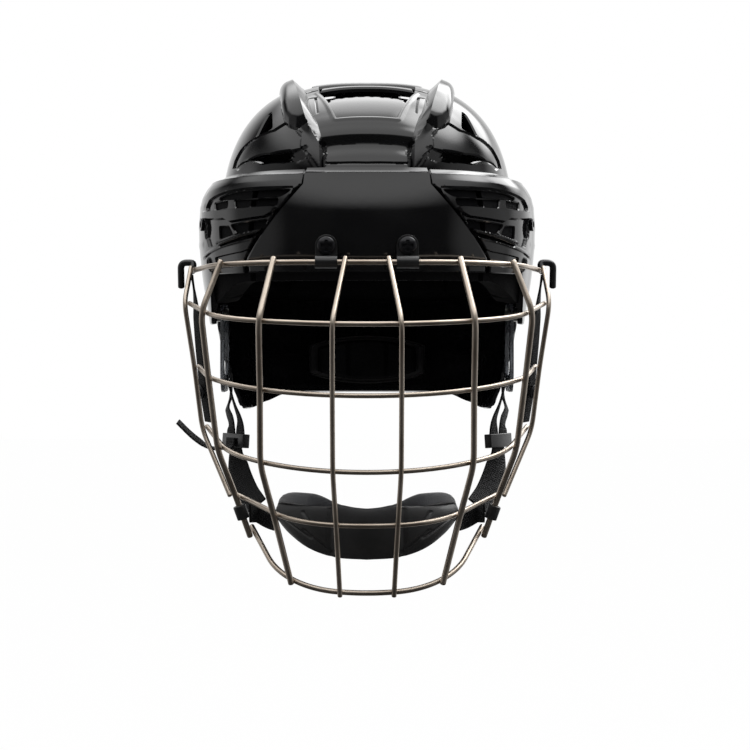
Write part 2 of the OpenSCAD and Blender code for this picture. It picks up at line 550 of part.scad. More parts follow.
centre_path = upright([[0, 13.3], [1, 20.1], [2, 20.2], [3, 19.9], [4, 18.1], [5, 16.1]], wire_thin, upright_bend, 2);
inner_path = upright([[0, 56.2], [1, 63.4], [2, 62.9], [3, 62.5], [4, 54], [5, 44.5]], wire_thick, upright_bend, 2);
side_in = [25, 14.8, 18.1, 23.6, 34, 42.5];
side_path = upright([for (k = [0:5]) [k, cage_half - side_in[k]]], wire_thick, upright_bend, 2);
outer_path = upright([[0, cage_half - 2.6], [1, bar_end(bars[1]) - 1], [2, bar_end(bars[2]) - 1],
  [3, bar_end(bars[3]) - 1], [4, bar_end(bars[4]) - 1.2]], wire_thin, upright_bend, 2);
module wire(path, side, d) color(metal)
  tube(side > 0 ? path : [for (p = path) mirror_x(p)], d, 8);

// ---- hooks at the ends of the top bar, in black sleeves ----
hook_tip = bar_at(bars[0], bar_end(bars[0]));
hook_dir = tangent(bars[0], bar_end(bars[0]));
hook_path = round_path([hook_tip + hook_dir * 0.3, hook_tip + hook_dir * 4, hook_tip + [-0.2, 6.5, 5.4],
  hook_tip + [8.6, 8, 5.4], hook_tip + [8.4, 10, -11.6]], 4.5, 3);
module hook_sleeve(side) color(black)
  tube([for (p = hook_path) side > 0 ? p : mirror_x(p)], sleeve_d, 10);

// ---- side straps from the hooks down to the snaps ----
side_strap_path = round_path([for (q = [[0.4, -5.6, -3], [-2.2, -4.1, -21.2], [-3.4, 6.4, -51.2],
  [-5.8, 15, -80], [-8.8, 18, -99]]) hook_tip + q], 14, 4);
// webbing turns between these directions of its width along its run
function turning(u, n) = [for (i = [0:n - 1]) let (f = i / (n - 1) * (len(u) - 1), k = min(floor(f), len(u) - 2))
  mix(u[k], u[k + 1], f - k)];
function sided_ups(u, side) = [for (q = u) side > 0 ? q : mirror_x(q)];
module web(path, ups, w, side) {
  p = [for (q = path) side > 0 ? q : mirror_x(q)];
  sweep(p, turning(sided_ups(ups, side), len(p)), flat_section(w, web_thick));
}
strap_face = [0.5, 0.87, 0];
strap_wide = web_width - 6;
module side_strap(side) color(black)
  web(side_strap_path, [[0, 1, 0.1], strap_face, strap_face, strap_face], strap_wide, side);
snap_at = hook_tip + [-5.85, 14.6, -78.7];
module side_snaps() color(metal) for (s = [-1, 1]) translate([s * snap_at[0], snap_at[1], snap_at[2]])
  rotate([0, 0, s * -30]) rotate([0, s * 100, 0]) translate([0, 0, web_thick / 2 + 0.9]) {
    cylinder(r = 4.6, h = 1.4, $fn = 32);
    cylinder(r = 3.4, h = 2.2, $fn = 32);
  }

// ---- chin cup ----
cup_in = 18;
cup_y = hinge_y + cup_in;
cup_sweep = 78;
cup_r = cup_half / sin(cup_sweep);
cup_play = 0.4;
pad_thick = 4;
function cup_arc(u, r) = let (a = cup_sweep * u) [r * sin(a), cup_y + cup_r - r * cos(a)];
function cup_top(u) = table(abs(u), [[0, -104.2], [0.13, -103.4], [0.26, -100], [0.36, -97], [0.48, -95.3], [0.62, -95],
  [0.78, -96], [0.9, -98], [1, -101.5]]);
function cup_low(u) = table(abs(u), [[0, -135], [0.3, -133.3], [0.5, -128.8], [0.7, -121.6], [0.88, -115.6], [1, -113]]);
// one section round the cup's band: front face, top lip, back face
function cup_section(u, r, t, belly, ch, tuck) = let (zt = cup_top(u) - tuck, zb = cup_low(u) + tuck, h = zt - zb, nn = 9,
    e = sqrt(max(0.02, 1 - pow(abs(u), 6))))
  concat(
    [for (k = [0:nn]) let (v = k / nn, z = mix(zb, zt, v), stripe = ch * pow(abs(sin(540 * v + 700 * abs(u))), 6)
        * smooth(min(v, 1 - v) / 0.15) * smooth((1 - abs(u)) / 0.1),
      rr = r + belly * e * pow(sin(180 * clamp01(v * 0.9 + 0.05)), 0.6) - stripe, q = cup_arc(u, rr))
      [q[0], q[1] - (v - 0.5) * h * 0.16, z]],
    [for (k = [0:nn]) let (v = 1 - k / nn, z = mix(zb + 0.8, zt - 0.8, v),
      rr = r - t + belly * 0.7 * e * pow(sin(180 * clamp01(v * 0.9 + 0.05)), 0.6), q = cup_arc(u, rr))
      [q[0], q[1] - (v - 0.5) * h * 0.16, z]]);
module cup_band(r, t, belly, ch, ends, m, tuck = 0) {
  s = [for (i = [0:m]) cup_section(ends * (2 * i / m - 1), r, t, belly, ch, tuck)];
  k = len(s[0]);
  polyhedron([for (q = s) each q], [for (f = ring_faces(len(s), k)) [for (i = [len(f) - 1:-1:0]) f[i]]], convexity = 6);
}
module chin_cup_shell() color(black) cup_band(cup_r, cup_wall, 5, cup_channel, 1, 34);
module chin_cup_pad() color(foam) cup_band(cup_r - cup_wall - cup_play, pad_thick, 3.5, 0, 0.93, 16, 1.6);

// ---- rings on the side uprights and the straps to the cup ----
ring_hi = side_path[len(side_path) - 2];
ring_lo = side_path[len(side_path) - 1];
ring_dir = unit(ring_hi - ring_lo);
ring_p = mix(ring_hi, ring_lo, 0.05);
module cage_ring(side) color(black) {
  c = side > 0 ? ring_p : mirror_x(ring_p);
  d = side > 0 ? ring_dir : mirror_x(ring_dir);
  x = unit(across(d)); y = cross(d, x);
  multmatrix([[x[0], y[0], d[0], c[0]], [x[1], y[1], d[1], c[1]], [x[2], y[2], d[2], c[2]], [0, 0, 0, 1]])
    difference() {
      cylinder(r = wire_thick / 2 + 2.2, h = 9, center = true, $fn = 32);
      cylinder(r = wire_thick / 2 + 0.4, h = 12, center = true, $fn = 32);
    }
}
cup_end_y = cup_y + cup_r * (1 - cos(cup_sweep));
chin_strap_path = round_path([ring_p + [-5.2, 4.6, -1], [cage_half - 43.8, cup_end_y + 7.4853, -110.8],
  [cup_half + 5.6, cup_end_y + 4.5853, -115], [cup_half + 2.2, cup_end_y - 1.4147, -115.5]], 6, 3);
module chin_strap(side) color(black) {
  p = [for (q = chin_strap_path) side > 0 ? q : mirror_x(q)];
  sweep(p, [0, 0.1, 1], flat_section(web_width - 3, web_thick));
}

// ---- ear straps, their sliders and the loose tail ----
// both webs run side by side into the slider
ear_web = web_width - 3;
slider_y = -26;
// where the slider's middle is, how far it is turned, and how far each web is from its middle
slider_x = guard_x - 7.4;
slider_turn = 30;
web_in = ear_web / 2 + 0.55;
front_x = slider_x - web_in * sin(slider_turn);
front_y = slider_y - web_in * cos(slider_turn);
back_x = slider_x + web_in * sin(slider_turn);
back_y = slider_y + web_in * cos(slider_turn);
ear_front = [[guard_x - 2.2, -22, -26], [guard_x - 5.6, -26, -40], [front_x, front_y, -53], [front_x, front_y, -60.6]];
ear_back = [[guard_x - 2.2, 20, -26], [guard_x - 2.2, 8, -38], [guard_x - 0.8, -6, -46], [back_x, back_y, -55],
  [back_x, back_y, -60.6]];
ear_low = [[slider_x, slider_y - 1, -71.4], [slider_x - 0.4, slider_y - 2, -79], [guard_x - 11.4, -36, -90],
  [guard_x - 16, -46, -99], [guard_x - 22.6, cup_y + 59, -106.5]];
module ear_strap(side) color(black) {
  web(round_path(ear_front, 8, 3), [[0, 1, 0], [0.1, 1, 0], strap_face, strap_face], ear_web, side);
  web(round_path(ear_back, 8, 3), [[0, 1, 0.4], [0, 1, 0.6], strap_face, strap_face], ear_web, side);
  web(round_path(ear_low, 10, 3), [strap_face, [0.85, 0.5, 0], [0.95, 0.3, -0.1], [0.8, 0.1, -0.5]], web_width, side);
}
module strap_sliders() color(black) for (s = [-1, 1]) {
  translate([s * slider_x, slider_y, -66]) rotate([0, 0, s * -slider_turn]) rotate([0, s * -4, 0]) difference() {
    cube([5, 2 * web_width, 9], center = true);
    cube([2.4, 2 * web_width - 6, 12], center = true);
  }
}
// the loose end leaves the left slider's outer face
module strap_tail() color(black)
  web(round_path([for (q = [[3, -1.8, -64], [3.6, -2.2, -70.5], [16, -5, -71.5], [27.8, -8, -63], [37.4, -9, -53.2]])
    [slider_x + q[0], slider_y + q[1], q[2]]], 6, 3), [strap_face, strap_face, [0.1, 1, 0.3], [0.3, 0.8, 0.5]],
    ear_web, -1);

front_shell();
side_grille(-1);  // side_grille_left
side_grille(1);  // side_grille_right
crown_shell();
rear_shell();
liner_front();
liner_side(-1);  // liner_side_left
liner_side(1);  // liner_side_right
liner_crown();
liner_rear();
occipital_cradle();
occipital_pad();
occipital_dial();
lever(-1);  // lever_left
lever(1);  // lever_right
lever_pivots();
ear_guard(-1);  // ear_guard_left
ear_guard(1);  // ear_guard_right
ear_guard_screws();
clip(-1);  // clip_left
clip(1);  // clip_right
clip_screws();
clip_nuts();
visor_nut(-1);  // visor_nut_left
visor_nut(1);  // visor_nut_right
cage_top_bar();
cage_brow_bar();
cage_eye_bar();
cage_nose_bar();
cage_mouth_bar();
cage_chin_rim();
wire(centre_path, -1, wire_thin);  // centre_upright_left
wire(centre_path, 1, wire_thin);  // centre_upright_right
wire(inner_path, -1, wire_thick);  // inner_upright_left
wire(inner_path, 1, wire_thick);  // inner_upright_right
wire(side_path, -1, wire_thick);  // side_upright_left
wire(side_path, 1, wire_thick);  // side_upright_right
wire(outer_path, -1, wire_thin);  // outer_upright_left
wire(outer_path, 1, wire_thin);  // outer_upright_right
hook_sleeve(-1);  // hook_sleeve_left
hook_sleeve(1);  // hook_sleeve_right
side_strap(-1);  // side_strap_left
side_strap(1);  // side_strap_right
side_snaps();
chin_cup_shell();
chin_cup_pad();
chin_strap(-1);  // chin_strap_left
chin_strap(1);  // chin_strap_right
cage_ring(-1);  // cage_ring_left
cage_ring(1);  // cage_ring_right
ear_strap(-1);  // ear_strap_left
ear_strap(1);  // ear_strap_right
strap_sliders();
strap_tail();
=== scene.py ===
import math

import bmesh
import bpy
import numpy as np
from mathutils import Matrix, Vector


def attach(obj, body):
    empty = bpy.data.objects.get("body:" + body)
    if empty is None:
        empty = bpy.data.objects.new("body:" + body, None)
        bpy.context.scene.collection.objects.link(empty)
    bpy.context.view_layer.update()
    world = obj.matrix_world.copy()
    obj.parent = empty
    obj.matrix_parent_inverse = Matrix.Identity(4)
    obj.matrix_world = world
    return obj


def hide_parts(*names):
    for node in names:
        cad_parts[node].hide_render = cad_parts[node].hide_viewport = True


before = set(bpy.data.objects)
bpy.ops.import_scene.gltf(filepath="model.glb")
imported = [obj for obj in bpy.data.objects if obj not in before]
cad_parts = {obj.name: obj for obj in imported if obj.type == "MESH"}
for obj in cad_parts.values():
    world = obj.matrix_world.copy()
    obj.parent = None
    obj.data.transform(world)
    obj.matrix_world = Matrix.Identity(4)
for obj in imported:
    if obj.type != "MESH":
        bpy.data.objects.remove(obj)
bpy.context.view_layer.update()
mm = 0.001

print("camera")
camera = {"distance": 1628, "lens": 117.07, "shiftX": 0.010667, "shiftY": -0.046667,
          "midline": 367, "level": 340, "near": -128, "pixel": 0.615, "throw": 1500}

lensData = bpy.data.cameras.new("frontCamera")
lensData.lens = camera["lens"]
lensData.sensor_width = 36
lensData.shift_x = camera["shiftX"]
lensData.shift_y = camera["shiftY"]
lensData.clip_end = 50
lensObject = bpy.data.objects.new("frontCamera", lensData)
lensObject.location = (0, -camera["distance"] * mm, 0)
lensObject.rotation_euler = (math.pi / 2, 0, 0)
bpy.context.scene.collection.objects.link(lensObject)
bpy.context.scene.camera = lensObject
bpy.context.scene.view_settings.view_transform = "Standard"


def linear(code):
    out = []
    for k in (1, 3, 5):
        c = int(code[k:k + 2], 16) / 255
        out.append(c / 12.92 if c <= 0.04045 else ((c + 0.055) / 1.055) ** 2.4)
    return (*out, 1.0)


def addNode(tree, kind, links=None, values=None, **settings):
    made = tree.nodes.new(kind)
    for key, value in settings.items():
        setattr(made, key, value)
    for key, value in (values or {}).items():
        made.inputs[key].default_value = value
    for key, source in (links or {}).items():
        tree.links.new(source, made.inputs[key])
    return made


# the maths works in millimetres and degrees
def sinD(a):
    return np.sin(np.radians(a))


def cosD(a):
    return np.cos(np.radians(a))


def mix(a, b, t):
    return a + (b - a) * t


def ease(t):
    u = np.clip(t, 0, 1)
    return u * u * (3 - 2 * u)


def unit(v):
    v = np.asarray(v, float)
    return v / (np.linalg.norm(v, axis=-1, keepdims=True) + 1e-12)


def curveTable(rows, tight=0.0):
    # smooth interpolation through a table, straight beyond its ends
    rows = np.array(rows, float)
    slopes = np.gradient(rows[:, 1], rows[:, 0]) * (1 - tight)

    def read(at):
        at = np.clip(np.asarray(at, float), rows[0, 0], rows[-1, 0])
        k = np.clip(np.searchsorted(rows[:, 0], at, side="right") - 1, 0, len(rows) - 2)
        h = rows[k + 1, 0] - rows[k, 0]
        t = (at - rows[k, 0]) / h
        return ((2 * t ** 3 - 3 * t ** 2 + 1) * rows[k, 1] + (t ** 3 - 2 * t ** 2 + t) * h * slopes[k]
                + (3 * t ** 2 - 2 * t ** 3) * rows[k + 1, 1] + (t ** 3 - t ** 2) * h * slopes[k + 1])
    return read


def roundPath(points, radius, steps=8):
    p = [np.array(q, float) for q in points]
    out = [p[0]]
    for i in range(1, len(p) - 1):
        back, on = p[i - 1] - p[i], p[i + 1] - p[i]
        cut = min(radius, 0.45 * np.linalg.norm(back), 0.45 * np.linalg.norm(on))
        for j in range(steps + 1):
            s = j / steps
            out.append(p[i] + unit(back) * cut * (1 - s) ** 2 + unit(on) * cut * s * s)
    return out + [p[-1]]


def evenly(points, step):
    p = np.array(points, float)
    run = np.concatenate([[0], np.cumsum(np.linalg.norm(np.diff(p, axis=0), axis=1))])
    n = max(2, int(round(run[-1] / step)) + 1)
    at = np.linspace(0, run[-1], n)
    return np.stack([np.interp(at, run, p[:, k]) for k in range(p.shape[1])], 1)


def flipped(points):
    return [np.array([-q[0], *q[1:]]) for q in points]


def rounded(poly, radius=1.4):
    # a closed outline with its corners rounded
    p = [np.array(q, float) for q in poly]
    n = len(p)
    out = []
    for i in range(n):
        back, on = p[i - 1] - p[i], p[(i + 1) % n] - p[i]
        cut = min(radius, 0.4 * np.linalg.norm(back), 0.4 * np.linalg.norm(on))
        out += [p[i] + unit(back) * cut * (1 - s) ** 2 + unit(on) * cut * s * s for s in (0, 0.34, 0.67, 1)]
    return [tuple(q) for q in out]


def nearestOn(a, b, lines):
    best = np.full(a.shape, 1e9)
    na, nb = a.copy(), b.copy()
    for line in lines:
        for (x0, y0), (x1, y1) in zip(line[:-1], line[1:]):
            dx, dy = x1 - x0, y1 - y0
            t = np.clip(((a - x0) * dx + (b - y0) * dy) / (dx * dx + dy * dy + 1e-12), 0, 1)
            qa, qb = x0 + t * dx, y0 + t * dy
            d = np.hypot(a - qa, b - qb)
            closer = d < best
            best, na, nb = np.where(closer, d, best), np.where(closer, qa, na), np.where(closer, qb, nb)
    return best, na, nb


def insideOf(a, b, poly):
    odd = np.zeros(a.shape, bool)
    for (x0, y0), (x1, y1) in zip(poly, list(poly[1:]) + [poly[0]]):
        odd ^= ((y0 > b) != (y1 > b)) & (a < (x1 - x0) * (b - y0) / (y1 - y0 + 1e-12) + x0)
    return odd


def depthIn(a, b, poly):
    d = nearestOn(a, b, [list(poly) + [poly[0]]])[0]
    return np.where(insideOf(a, b, poly), d, -d)


def makePiece(name, points, faces, material, uv=None, sharp=38):
    mesh = bpy.data.meshes.new(name)
    mesh.from_pydata((np.asarray(points, float) * mm).tolist(), [], faces)
    if uv is not None:
        layer = mesh.uv_layers.new(name="UVMap")
        index = np.zeros(len(mesh.loops), np.int32)
        mesh.loops.foreach_get("vertex_index", index)
        layer.data.foreach_set("uv", np.asarray(uv, np.float32)[index].ravel())
    mesh.materials.append(material)
    mesh.shade_smooth()
    if sharp:
        mesh.set_sharp_from_angle(angle=math.radians(sharp))
    made = bpy.data.objects.new(name, mesh)
    bpy.context.scene.collection.objects.link(made)
    return made


def declare(piece, body, slotName, *nodes):
    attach(piece, body)
    if nodes:
        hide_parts(*nodes)
    return piece


def tidied(name, points, faces, material, uv=None, sharp=38):
    # merges doubles and turns every face outwards
    made = makePiece(name, points, faces, material, uv, 0)
    work = bmesh.new()
    work.from_mesh(made.data)
    bmesh.ops.remove_doubles(work, verts=work.verts, dist=1e-6)
    bmesh.ops.recalc_face_normals(work, faces=work.faces)
    work.to_mesh(made.data)
    work.free()
    made.data.shade_smooth()
    made.data.set_sharp_from_angle(angle=math.radians(sharp))
    return made


def edgeRound(d, radius):
    # how far the surface drops at a distance from a moulded edge
    x = np.clip(1 - d / radius, 0, 1)
    return radius * (1 - np.sqrt(1 - x * x))


snapShare = 0.55       # share of a cell from which a vertex moves onto a drawn line
slopeReach = 0.35      # how far to each side a surface's slope is measured, in millimetres
leastArea = 1e-6


def skin(a, b, surface, snapLines, holes, relief, wall, edge=1.2, cell=0.9, mirrored=False, free=None, pole=False):
    # a thick moulded wall over a grid: its vertices move onto the drawn lines, holes are cut along
    # them, the relief lifts or sinks the outside, and the inside follows below
    sign = np.where(a < 0, -1.0, 1.0) if mirrored else np.ones_like(a)
    fa = np.abs(a) if mirrored else a
    onLine = np.zeros(a.shape, bool)
    if snapLines:
        d, qa, qb = nearestOn(fa, b, snapLines)
        onLine = d < snapShare * cell
        fa, b = np.where(onLine, qa, fa), np.where(onLine, qb, b)
        a = fa * sign
    base = surface(a, b)
    e = slopeReach
    normal = unit(np.cross(surface(a + e, b) - surface(a - e, b), surface(a, b + e) - surface(a, b - e)))
    lift = relief(fa, b, base)
    if free is not None:
        lift = lift - edgeRound(free(fa, b, base), edge)
    for hole in holes:
        lift = lift - edgeRound(np.abs(depthIn(fa, b, hole)), edge)
    low = lift.copy()
    for da, db in ((1, 0), (-1, 0), (0, 1), (0, -1)):
        low = np.minimum(low, np.roll(np.roll(lift, da, 0), db, 1))
    low[0], low[-1], low[:, 0], low[:, -1] = lift[0], lift[-1], lift[:, 0], lift[:, -1]
    outer = base + normal * lift[..., None]
    inner = base + normal * (low - wall)[..., None]
    ni, nj = a.shape
    at = np.arange(ni * nj).reshape(ni, nj)
    if pole:
        at[:, -1] = at[0, -1]
    v00, v10, v11, v01 = at[:-1, :-1], at[1:, :-1], at[1:, 1:], at[:-1, 1:]
    f = onLine.ravel()
    cross = (f[v10] & f[v01] & ~(f[v00] & f[v11])) | (~(f[v00] & f[v11]) & ((np.add.outer(
        np.arange(ni - 1), np.arange(nj - 1)) % 2) == 1) & ~(f[v00] | f[v11]))
    one = np.where(cross[..., None], np.stack([v00, v10, v01], -1), np.stack([v00, v10, v11], -1)).reshape(-1, 3)
    two = np.where(cross[..., None], np.stack([v10, v11, v01], -1), np.stack([v00, v11, v01], -1)).reshape(-1, 3)
    tris = np.concatenate([one, two])
    tris = tris[(tris[:, 0] != tris[:, 1]) & (tris[:, 1] != tris[:, 2]) & (tris[:, 2] != tris[:, 0])]
    ca, cb = fa.ravel()[tris].mean(1), b.ravel()[tris].mean(1)
    keep = np.ones(len(tris), bool)
    for hole in holes:
        keep &= ~insideOf(ca, cb, hole)
    tris = tris[keep]
    pts = np.concatenate([outer.reshape(-1, 3), inner.reshape(-1, 3)])
    flat = pts[tris]
    area = np.linalg.norm(np.cross(flat[:, 1] - flat[:, 0], flat[:, 2] - flat[:, 0]), axis=1)
    tris = tris[area > leastArea]
    edges = np.concatenate([tris[:, [0, 1]], tris[:, [1, 2]], tris[:, [2, 0]]])
    key = np.sort(edges, 1)
    code = key[:, 0].astype(np.int64) * (ni * nj) + key[:, 1]
    _, first, counts = np.unique(code, return_index=True, return_counts=True)
    rim = edges[first[counts == 1]]
    n = ni * nj
    walls = [[int(q), int(p), int(p) + n, int(q) + n] for p, q in rim]
    faces = tris.tolist() + (tris[:, ::-1] + n).tolist() + walls
    used = np.unique(np.concatenate([np.array(f) for f in (tris.ravel(), tris.ravel() + n)]))
    order = np.full(2 * n, -1)
    order[used] = np.arange(len(used))
    return pts[used], [[int(order[k]) for k in face] for face in faces]


print("helmet surfaces")
shell = {"crownHalf": 97.5, "crownFront": 121, "crownBack": 126, "crownRise": 112, "base": 60,
         "headY": 5, "seamY": -5, "tongueY": -22, "wall": 2.6, "brim": 42, "ledge": 104,
         "rearHalf": 105, "rearBack": 129, "rearRise": 109.5, "round": 2.25, "crownPower": 2.8,
         "rearPower": 2.5, "drop": 180}
wall, ledge, brim, headY = shell["wall"], shell["ledge"], shell["brim"], shell["headY"]
tongueGap = 1.5      # between the crown's inside and the rear shell's tongue
# the belt's half width and its reach to the front, by height
beltHalf = curveTable([[0, 103], [20, 106], [40, 109.3], [52, 110.6], [60, 111.3], [73, 111.7], [85, 111],
                       [95, 109], [100, 106.8], [104, 104]])
beltNose = curveTable([[0, 125], [42, 131], [58, 133], [80, 130], [104, 122]])


def beltR(phi, z, off=0.0):
    n = shell["round"]
    wide, long = np.abs(sinD(phi)) / (beltHalf(z) - off), np.abs(cosD(phi)) / (beltNose(z) - off)
    return (wide ** n + long ** n) ** (-1 / n)


def around(phi, r, z):
    return np.stack([r * sinD(phi), headY - r * cosD(phi), z + 0 * r], -1)


def crownR(phi, z):
    n = shell["round"]
    up = np.clip(1 - ((z - shell["base"]) / shell["crownRise"]) ** shell["crownPower"], 0, 1)
    return up ** (1 / shell["crownPower"]) * ((np.abs(sinD(phi)) / shell["crownHalf"]) ** n
                                               + (np.abs(cosD(phi)) / shell["crownFront"]) ** n) ** (-1 / n)


def domeValue(p, size, power):
    n = shell["round"]
    x, y, z = p[..., 0], p[..., 1] - headY, p[..., 2] - shell["base"]
    flat = (np.abs(x) / size[0]) ** n + (np.abs(y) / np.where(y < 0, size[1], size[2])) ** n
    return flat ** (power / n) + (np.abs(z) / np.where(z > 0, size[3], shell["drop"])) ** power


def crownValue(p, off=0.0):
    return domeValue(p, [shell["crownHalf"] - off, shell["crownFront"] - off, shell["crownBack"] - off,
                         shell["crownRise"] - off], shell["crownPower"])


def rearValue(p, off=0.0):
    # wide below the ledge, the crown's own form above it, and a tongue under the crown in front
    w = ease((p[..., 1] - shell["seamY"] - 1) / 6)
    up = ease((p[..., 2] - ledge + 6) / 12)
    low = domeValue(p, [shell["rearHalf"] - off, shell["crownFront"] - off, shell["rearBack"] - off,
                        shell["rearRise"] - off], shell["rearPower"])
    high = domeValue(p, [shell["crownHalf"] - off, shell["crownFront"] - off, shell["rearBack"] - off,
                         shell["rearRise"] - off], shell["crownPower"])
    return mix(crownValue(p, off + wall + tongueGap), mix(low, high, up), w)


def cast(value, origin, direction, off=0.0):
    low, high = np.zeros(direction.shape[:-1]), np.full(direction.shape[:-1], 240.0)
    for _ in range(26):
        half = (low + high) / 2
        out = value(origin + direction * half[..., None], off) > 1
        low, high = np.where(out, low, half), np.where(out, half, high)
    return origin + direction * low[..., None]


def aim(phi, el):
    return np.stack([sinD(phi) * cosD(el), -cosD(phi) * cosD(el), sinD(el)], -1)


# the belt's own flat coordinates: arc length from the middle, and height
phiTable = np.linspace(0, 100, 1001)
ringPoints = around(phiTable, beltR(phiTable, 73.0), 73.0)
arcTable = np.concatenate([[0], np.cumsum(np.linalg.norm(np.diff(ringPoints, axis=0), axis=1))])


def arcOf(phi):
    return np.interp(phi, phiTable, arcTable)


def phiOf(arc):
    return np.sign(arc) * np.interp(np.abs(arc), arcTable, phiTable)


def pictureScale(y):
    return camera["pixel"] * (1 + (y - camera["near"]) / camera["throw"])


def onBelt(points):
    # where a point of the front view lies on the belt
    out = []
    n = shell["round"]
    for u, v in points:
        y = -120.0
        for _ in range(9):
            s = pictureScale(y)
            x, z = abs(u - camera["midline"]) * s, (camera["level"] - v) * s
            h = float(beltHalf(z))
            q = float(beltNose(z)) * (1 - (min(x, h * 0.9996) / h) ** n) ** (1 / n)
            y = headY - q
        out.append((float(arcOf(math.degrees(math.atan2(min(x, h), q)))), z))
    return out


perDegree = 1.9


def onCrown(points):
    # where a point of the front view lies on the crown: x, and the angle up the dome
    out = []
    n = shell["round"]
    for u, v in points:
        y = -100.0
        for _ in range(12):
            s = pictureScale(y)
            x, z = abs(u - camera["midline"]) * s, (camera["level"] - v) * s
            up = max(0.0, 1 - (max(0.0, z - shell["base"]) / shell["crownRise"]) ** shell["crownPower"])
            q = shell["crownFront"] * max(1e-6, up ** (n / shell["crownPower"])
                                          - (x / shell["crownHalf"]) ** n) ** (1 / n)
            y = 0.5 * y + 0.5 * (headY - q)
        out.append((x, perDegree * math.degrees(math.atan2(z - shell["base"], shell["seamY"] - y))))
    return out


print("materials")


def newMaterial(name, colour, roughness, **values):
    made = bpy.data.materials.new(name)
    made.use_nodes = True
    tree = made.node_tree
    shader = tree.nodes["Principled BSDF"]
    shader.inputs["Base Color"].default_value = linear(colour)
    shader.inputs["Roughness"].default_value = roughness
    for key, value in values.items():
        shader.inputs[key.replace("_", " ")].default_value = value
    return made, tree, shader


cloudsPerMetre = 38.0      # handling marks and flow, about 26 mm apart


def grain(tree, shader, perMetre, strength, distance, detail=3.0, rough=None, colours=None,
          kind="ShaderNodeTexNoise"):
    # a fine moulded or cast texture: bump, with optional swings of roughness and colour
    place = addNode(tree, "ShaderNodeTexCoord")
    values = {"Scale": perMetre} if kind == "ShaderNodeTexVoronoi" else {"Scale": perMetre, "Detail": detail}
    pattern = addNode(tree, kind, {"Vector": place.outputs["Object"]}, values)
    source = pattern.outputs["Distance" if kind == "ShaderNodeTexVoronoi" else "Fac"]
    bump = addNode(tree, "ShaderNodeBump", {"Height": source}, {"Strength": strength, "Distance": distance})
    tree.links.new(bump.outputs["Normal"], shader.inputs["Normal"])
    if rough or colours:
        cloud = addNode(tree, "ShaderNodeTexNoise", {"Vector": place.outputs["Object"]},
                        {"Scale": cloudsPerMetre, "Detail": 5.0})
    if rough:
        swing = addNode(tree, "ShaderNodeMapRange", {"Value": cloud.outputs["Fac"]},
                        {"From Min": 0.3, "From Max": 0.7, "To Min": rough[0], "To Max": rough[1]})
        tree.links.new(swing.outputs["Result"], shader.inputs["Roughness"])
    if colours:
        tint = addNode(tree, "ShaderNodeValToRGB", {"Fac": cloud.outputs["Fac"]})
        for stop, at, colour in zip(tint.color_ramp.elements, (0.34, 0.68), colours):
            stop.position, stop.color = at, linear(colour)
        tree.links.new(tint.outputs["Color"], shader.inputs["Base Color"])


# injection moulded ABS: deep black under a high gloss, with a faint orange peel
glossyAbs, tree, shader = newMaterial("glossyAbs", "#070708", 0.09, IOR=1.5)
grain(tree, shader, 240.0, 0.02, 0.001, 2.0, (0.07, 0.13), ("#060607", "#09090a"))

# clear lacquered titanium coloured steel wire: warm grey brown with a satin gleam
satinWire, tree, shader = newMaterial("satinWire", "#b3a798", 0.36, Metallic=1.0)
grain(tree, shader, 900.0, 0.05, 0.0004, 2.0, (0.3, 0.42), ("#a3978a", "#c0b5a8"))

# glass filled nylon, moulded with a fine spark texture: black with a dull sheen
blackNylon, tree, shader = newMaterial("blackNylon", "#101011", 0.34, IOR=1.53)
grain(tree, shader, 1400.0, 0.12, 0.0004, 2.0, (0.28, 0.42), ("#0d0d0e", "#131314"))

# dipped PVC sleeve: smooth black rubber with a soft highlight
sleeveRubber, tree, shader = newMaterial("sleeveRubber", "#0d0d0e", 0.28, IOR=1.52)
grain(tree, shader, 300.0, 0.08, 0.0006, 2.0, (0.24, 0.36), ("#0b0b0c", "#101011"))

# moulded vinyl nitrile foam: soft black with closed cells that drink the light
linerFoam, tree, shader = newMaterial("linerFoam", "#060607", 0.85, Specular_IOR_Level=0.1)
grain(tree, shader, 700.0, 0.3, 0.0006, 2.0, (0.75, 0.9), ("#040405", "#08080a"), "ShaderNodeTexVoronoi")

# moulded EVA shell of the cup with a rubbery skin
cupRubber, tree, shader = newMaterial("cupRubber", "#141415", 0.5, IOR=1.5)
grain(tree, shader, 1100.0, 0.25, 0.0004, 3.0, (0.44, 0.58), ("#111112", "#18181a"))

# brushed tricot over foam: dark grey with a short soft nap
cupLining, tree, shader = newMaterial("cupLining", "#26272a", 0.85, Sheen_Weight=0.35, Sheen_Roughness=0.5)
grain(tree, shader, 1500.0, 0.3, 0.0005, 2.0, (0.8, 0.95), ("#202124", "#2c2d31"), "ShaderNodeTexVoronoi")

# tinted polycarbonate: clear smoky grey with moulding speckle
smokePolycarbonate, tree, shader = newMaterial("smokePolycarbonate", "#606368", 0.14, IOR=1.58,
                                               Transmission_Weight=0.75)
grain(tree, shader, 420.0, 0.3, 0.001, 4.0, (0.08, 0.3), ("#3c3f43", "#7c7f84"))

# zinc plated steel: pale satin metal with a cloudy passivation
zincSteel, tree, shader = newMaterial("zincSteel", "#b4b4b0", 0.32, Metallic=1.0)
grain(tree, shader, 500.0, 0.06, 0.0004, 3.0, (0.25, 0.42), ("#a4a49f", "#c2c2be"))

# blackened steel screws and caps: dark, semi gloss, with paler patches in the clouding
blackOxide, tree, shader = newMaterial("blackOxide", "#161618", 0.2, Metallic=0.6)
grain(tree, shader, 600.0, 0.06, 0.0004, 3.0, (0.15, 0.26), ("#101012", "#222225"))

